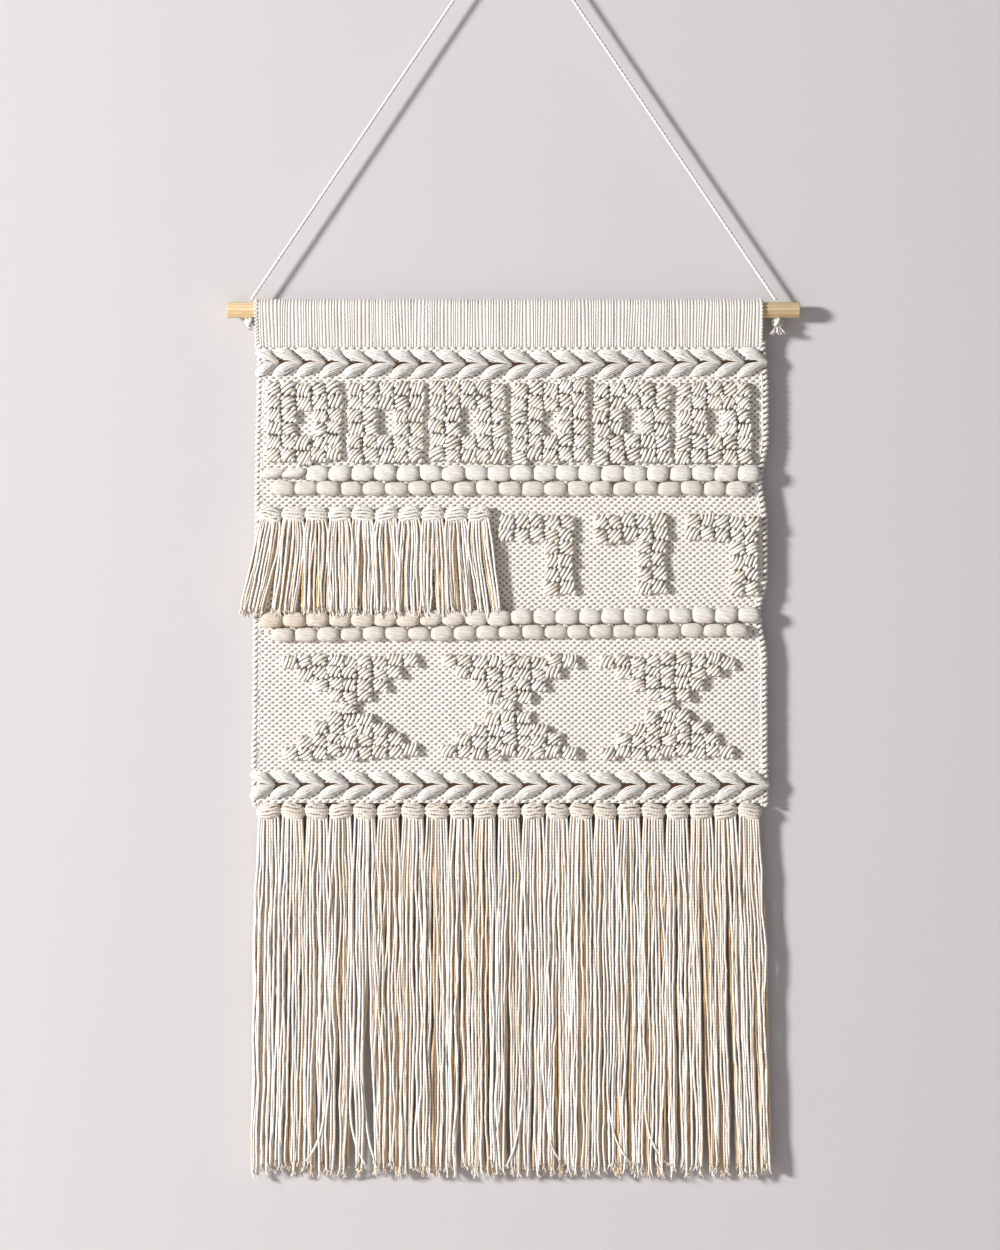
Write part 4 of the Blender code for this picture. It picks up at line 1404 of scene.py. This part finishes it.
class HANGING_OT_sleeve(bpy.types.Operator):
    """Fold the ribbed sleeve over the rod"""

    bl_idname = "hanging.sleeve"
    bl_label = "Sleeve"

    def execute(self, context):
        sizes, colours = context.scene.hanging_sizes, context.scene.hanging_colours
        cloth = 0.0014
        rod_gap = 0.0003
        columns, rows = 3 * round(CLOTH_WIDTH / sizes.rib_pitch), 84
        outline, length = sleeve_outline(ROD_RADIUS + rod_gap + cloth, 0.0015, rows)
        bm = two_sided_grid(columns, rows)
        layers = relief_layers(bm)
        for vert in bm.verts:
            across, run, inside = vert.co.x, round(vert.co.y * rows), vert.co.z > 0.5
            (y, z), (out_y, out_z) = outline[run]
            x = LEFT_EDGE + CLOTH_WIDTH * across
            distance = length * run / rows
            place = across * columns / 3
            rib = abs(math.sin(math.pi * place))
            bead = (run + math.floor(place)) % 2
            full = 0.8 + noise.noise(Vector((31.7 * math.floor(place), 25 * distance, 2.0))) * 0.7
            relief = sizes.rib_relief * full * (rib**0.7) * (0.6 + 0.4 * bead)
            lift = -cloth if inside else relief
            x += noise.noise(Vector((110 * x, 9 * distance, 4.0))) * 0.0022
            vert.co = (x, y + out_y * lift, z + out_z * lift)
            # top scales the painted shade in the hollows between the ribs, more of it on the stronger ribs.
            vert[layers["top"]] = 3.4 - 1.9 * full
            vert[layers["shade"]] = 0.45
            vert[layers["warp"]] = place
            vert[layers["weft"]] = (run + math.floor(place) % 2) / 2
        canvas = cloth_material(
            "sleeve_weave", colours.canvas, colours.beige, colours.canvas_crease_shade, (1, 1, 0.45), 1600.0, 0.0003,
            weave_group(True),
        )
        mesh = finished_mesh("ribbed_sleeve", bm)
        sleeve = add_piece("ribbed_sleeve", mesh, "cloth", "woven_cotton", canvas, "header_sleeve")
        round_rod = sleeve_outline(ROD_RADIUS + rod_gap + cloth / 2, 0.0008, 60)[0]
        line = [Vector((0, *point)) for point, _ in round_rod]
        for side, x, out in (("left", LEFT_EDGE, -1), ("right", RIGHT_EDGE, 1)):
            route = [point + Vector((x, 0, 0)) for point in line]
            turns = coil(route, Vector((out, 0, 0)), 0.0009, 0.0009, 0.0027, 9, 11 + out)
            mesh = yarn_mesh(f"{side}_sleeve_hem", [turns])
            add_piece(
                    f"{side}_sleeve_hem", mesh, "cloth", "woven_cotton", bpy.data.materials["selvedge_yarn"]
                )
        return {"FINISHED"}


class HANGING_OT_ground(bpy.types.Operator):
    """Weave the ground in three lengths that meet under the rovings"""

    bl_idname = "hanging.ground"
    bl_label = "Woven ground"

    def execute(self, context):
        sizes, colours = context.scene.hanging_sizes, context.scene.hanging_colours
        canvas = cloth_material(
            "ground_weave", colours.canvas, colours.beige, colours.canvas_crease_shade, (1, 1, 1), 1700.0, 0.00025,
            weave_group(False),
        )
        upper_join = sum(corner.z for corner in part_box("upper_roving_white_row")) / 2
        lower_join = sum(corner.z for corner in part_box("lower_roving_beige_row")) / 2
        levels = (SEAM_Z, upper_join, lower_join, LOWER_EDGE_Z)
        columns = 3 * round(CLOTH_WIDTH / sizes.warp_pitch)
        pitch = 2 * sizes.weft_pitch
        for number, (top, bottom) in enumerate(zip(levels, levels[1:])):
            rows = 2 * round((top - bottom) / sizes.weft_pitch)
            bm = two_sided_grid(columns, rows)
            layers = relief_layers(bm)
            for vert in bm.verts:
                across, drop, behind = vert.co.x, 1 - vert.co.y, vert.co.z > 0.5
                z = top + (bottom - top) * drop
                left, right = left_edge_x(z) + 0.0016, right_edge_x(z) - 0.0016
                x = left + (right - left) * across
                warp, weft = across * columns / 3, drop * rows / 2
                cell = math.sin(math.pi * warp) * math.sin(math.pi * weft)
                cell = -cell if behind else cell
                bump = max(0.0, (cell + 0.72) / 1.72) ** 0.6
                vary = 1 + noise.noise(Vector((x * 90, z * 90, 3.0 + behind))) * 0.45
                lift = sizes.weave_relief * bump * vary
                x += noise.noise(Vector((x * 130, z * 130, 8.0))) * 0.0006
                z += noise.noise(Vector((x * 110, z * 110, 5.0))) * 0.0005
                y = BACK_Y - 0.0006 + lift if behind else FRONT_Y + 0.0004 - lift
                vert.co = (x, y, z)
                # top scales the painted shade in the hollows of the weave.
                vert[layers["top"]] = 1.5
                vert[layers["shade"]] = 0.10
                vert[layers["warp"]] = warp
                vert[layers["weft"]] = weft + behind
            name = ("upper", "middle", "lower")[number] + "_ground"
            nodes = ["woven_ground"] if number == 0 else []
            piece = add_piece(name, finished_mesh(name, bm), "cloth", "woven_cotton", canvas, *nodes)
        return {"FINISHED"}


OPERATORS = (
    HANGING_OT_stage,
    HANGING_OT_cord,
    HANGING_OT_rod,
    HANGING_OT_braids,
    HANGING_OT_rovings,
    HANGING_OT_motifs,
    HANGING_OT_short_tassels,
    HANGING_OT_long_tassels,
    HANGING_OT_selvedges,
    HANGING_OT_sleeve,
    HANGING_OT_ground,
)


class HANGING_PT_pieces(bpy.types.Panel):
    """The hanging's sizes, colours and pieces"""

    bl_idname = "HANGING_PT_pieces"
    bl_label = "Fringed wall hanging"
    bl_space_type = "VIEW_3D"
    bl_region_type = "UI"
    bl_category = "Hanging"

    def draw(self, context):
        for owner in (context.scene.hanging_sizes, context.scene.hanging_colours):
            box = self.layout.box()
            for name in owner.__annotations__:
                box.prop(owner, name)
        for operator in OPERATORS:
            self.layout.operator(operator.bl_idname)


CLASSES = (HangingSizes, HangingColours, *OPERATORS, HANGING_PT_pieces)


def register():
    for cls in CLASSES:
        bpy.utils.register_class(cls)
    bpy.types.Scene.hanging_sizes = bpy.props.PointerProperty(type=HangingSizes)
    bpy.types.Scene.hanging_colours = bpy.props.PointerProperty(type=HangingColours)


def unregister():
    del bpy.types.Scene.hanging_colours
    del bpy.types.Scene.hanging_sizes
    for cls in reversed(CLASSES):
        bpy.utils.unregister_class(cls)


def main():
    register()
    for operator in OPERATORS:
        group, name = operator.bl_idname.split(".")
        getattr(getattr(bpy.ops, group), name)()


if __name__ == "__main__":
    main()
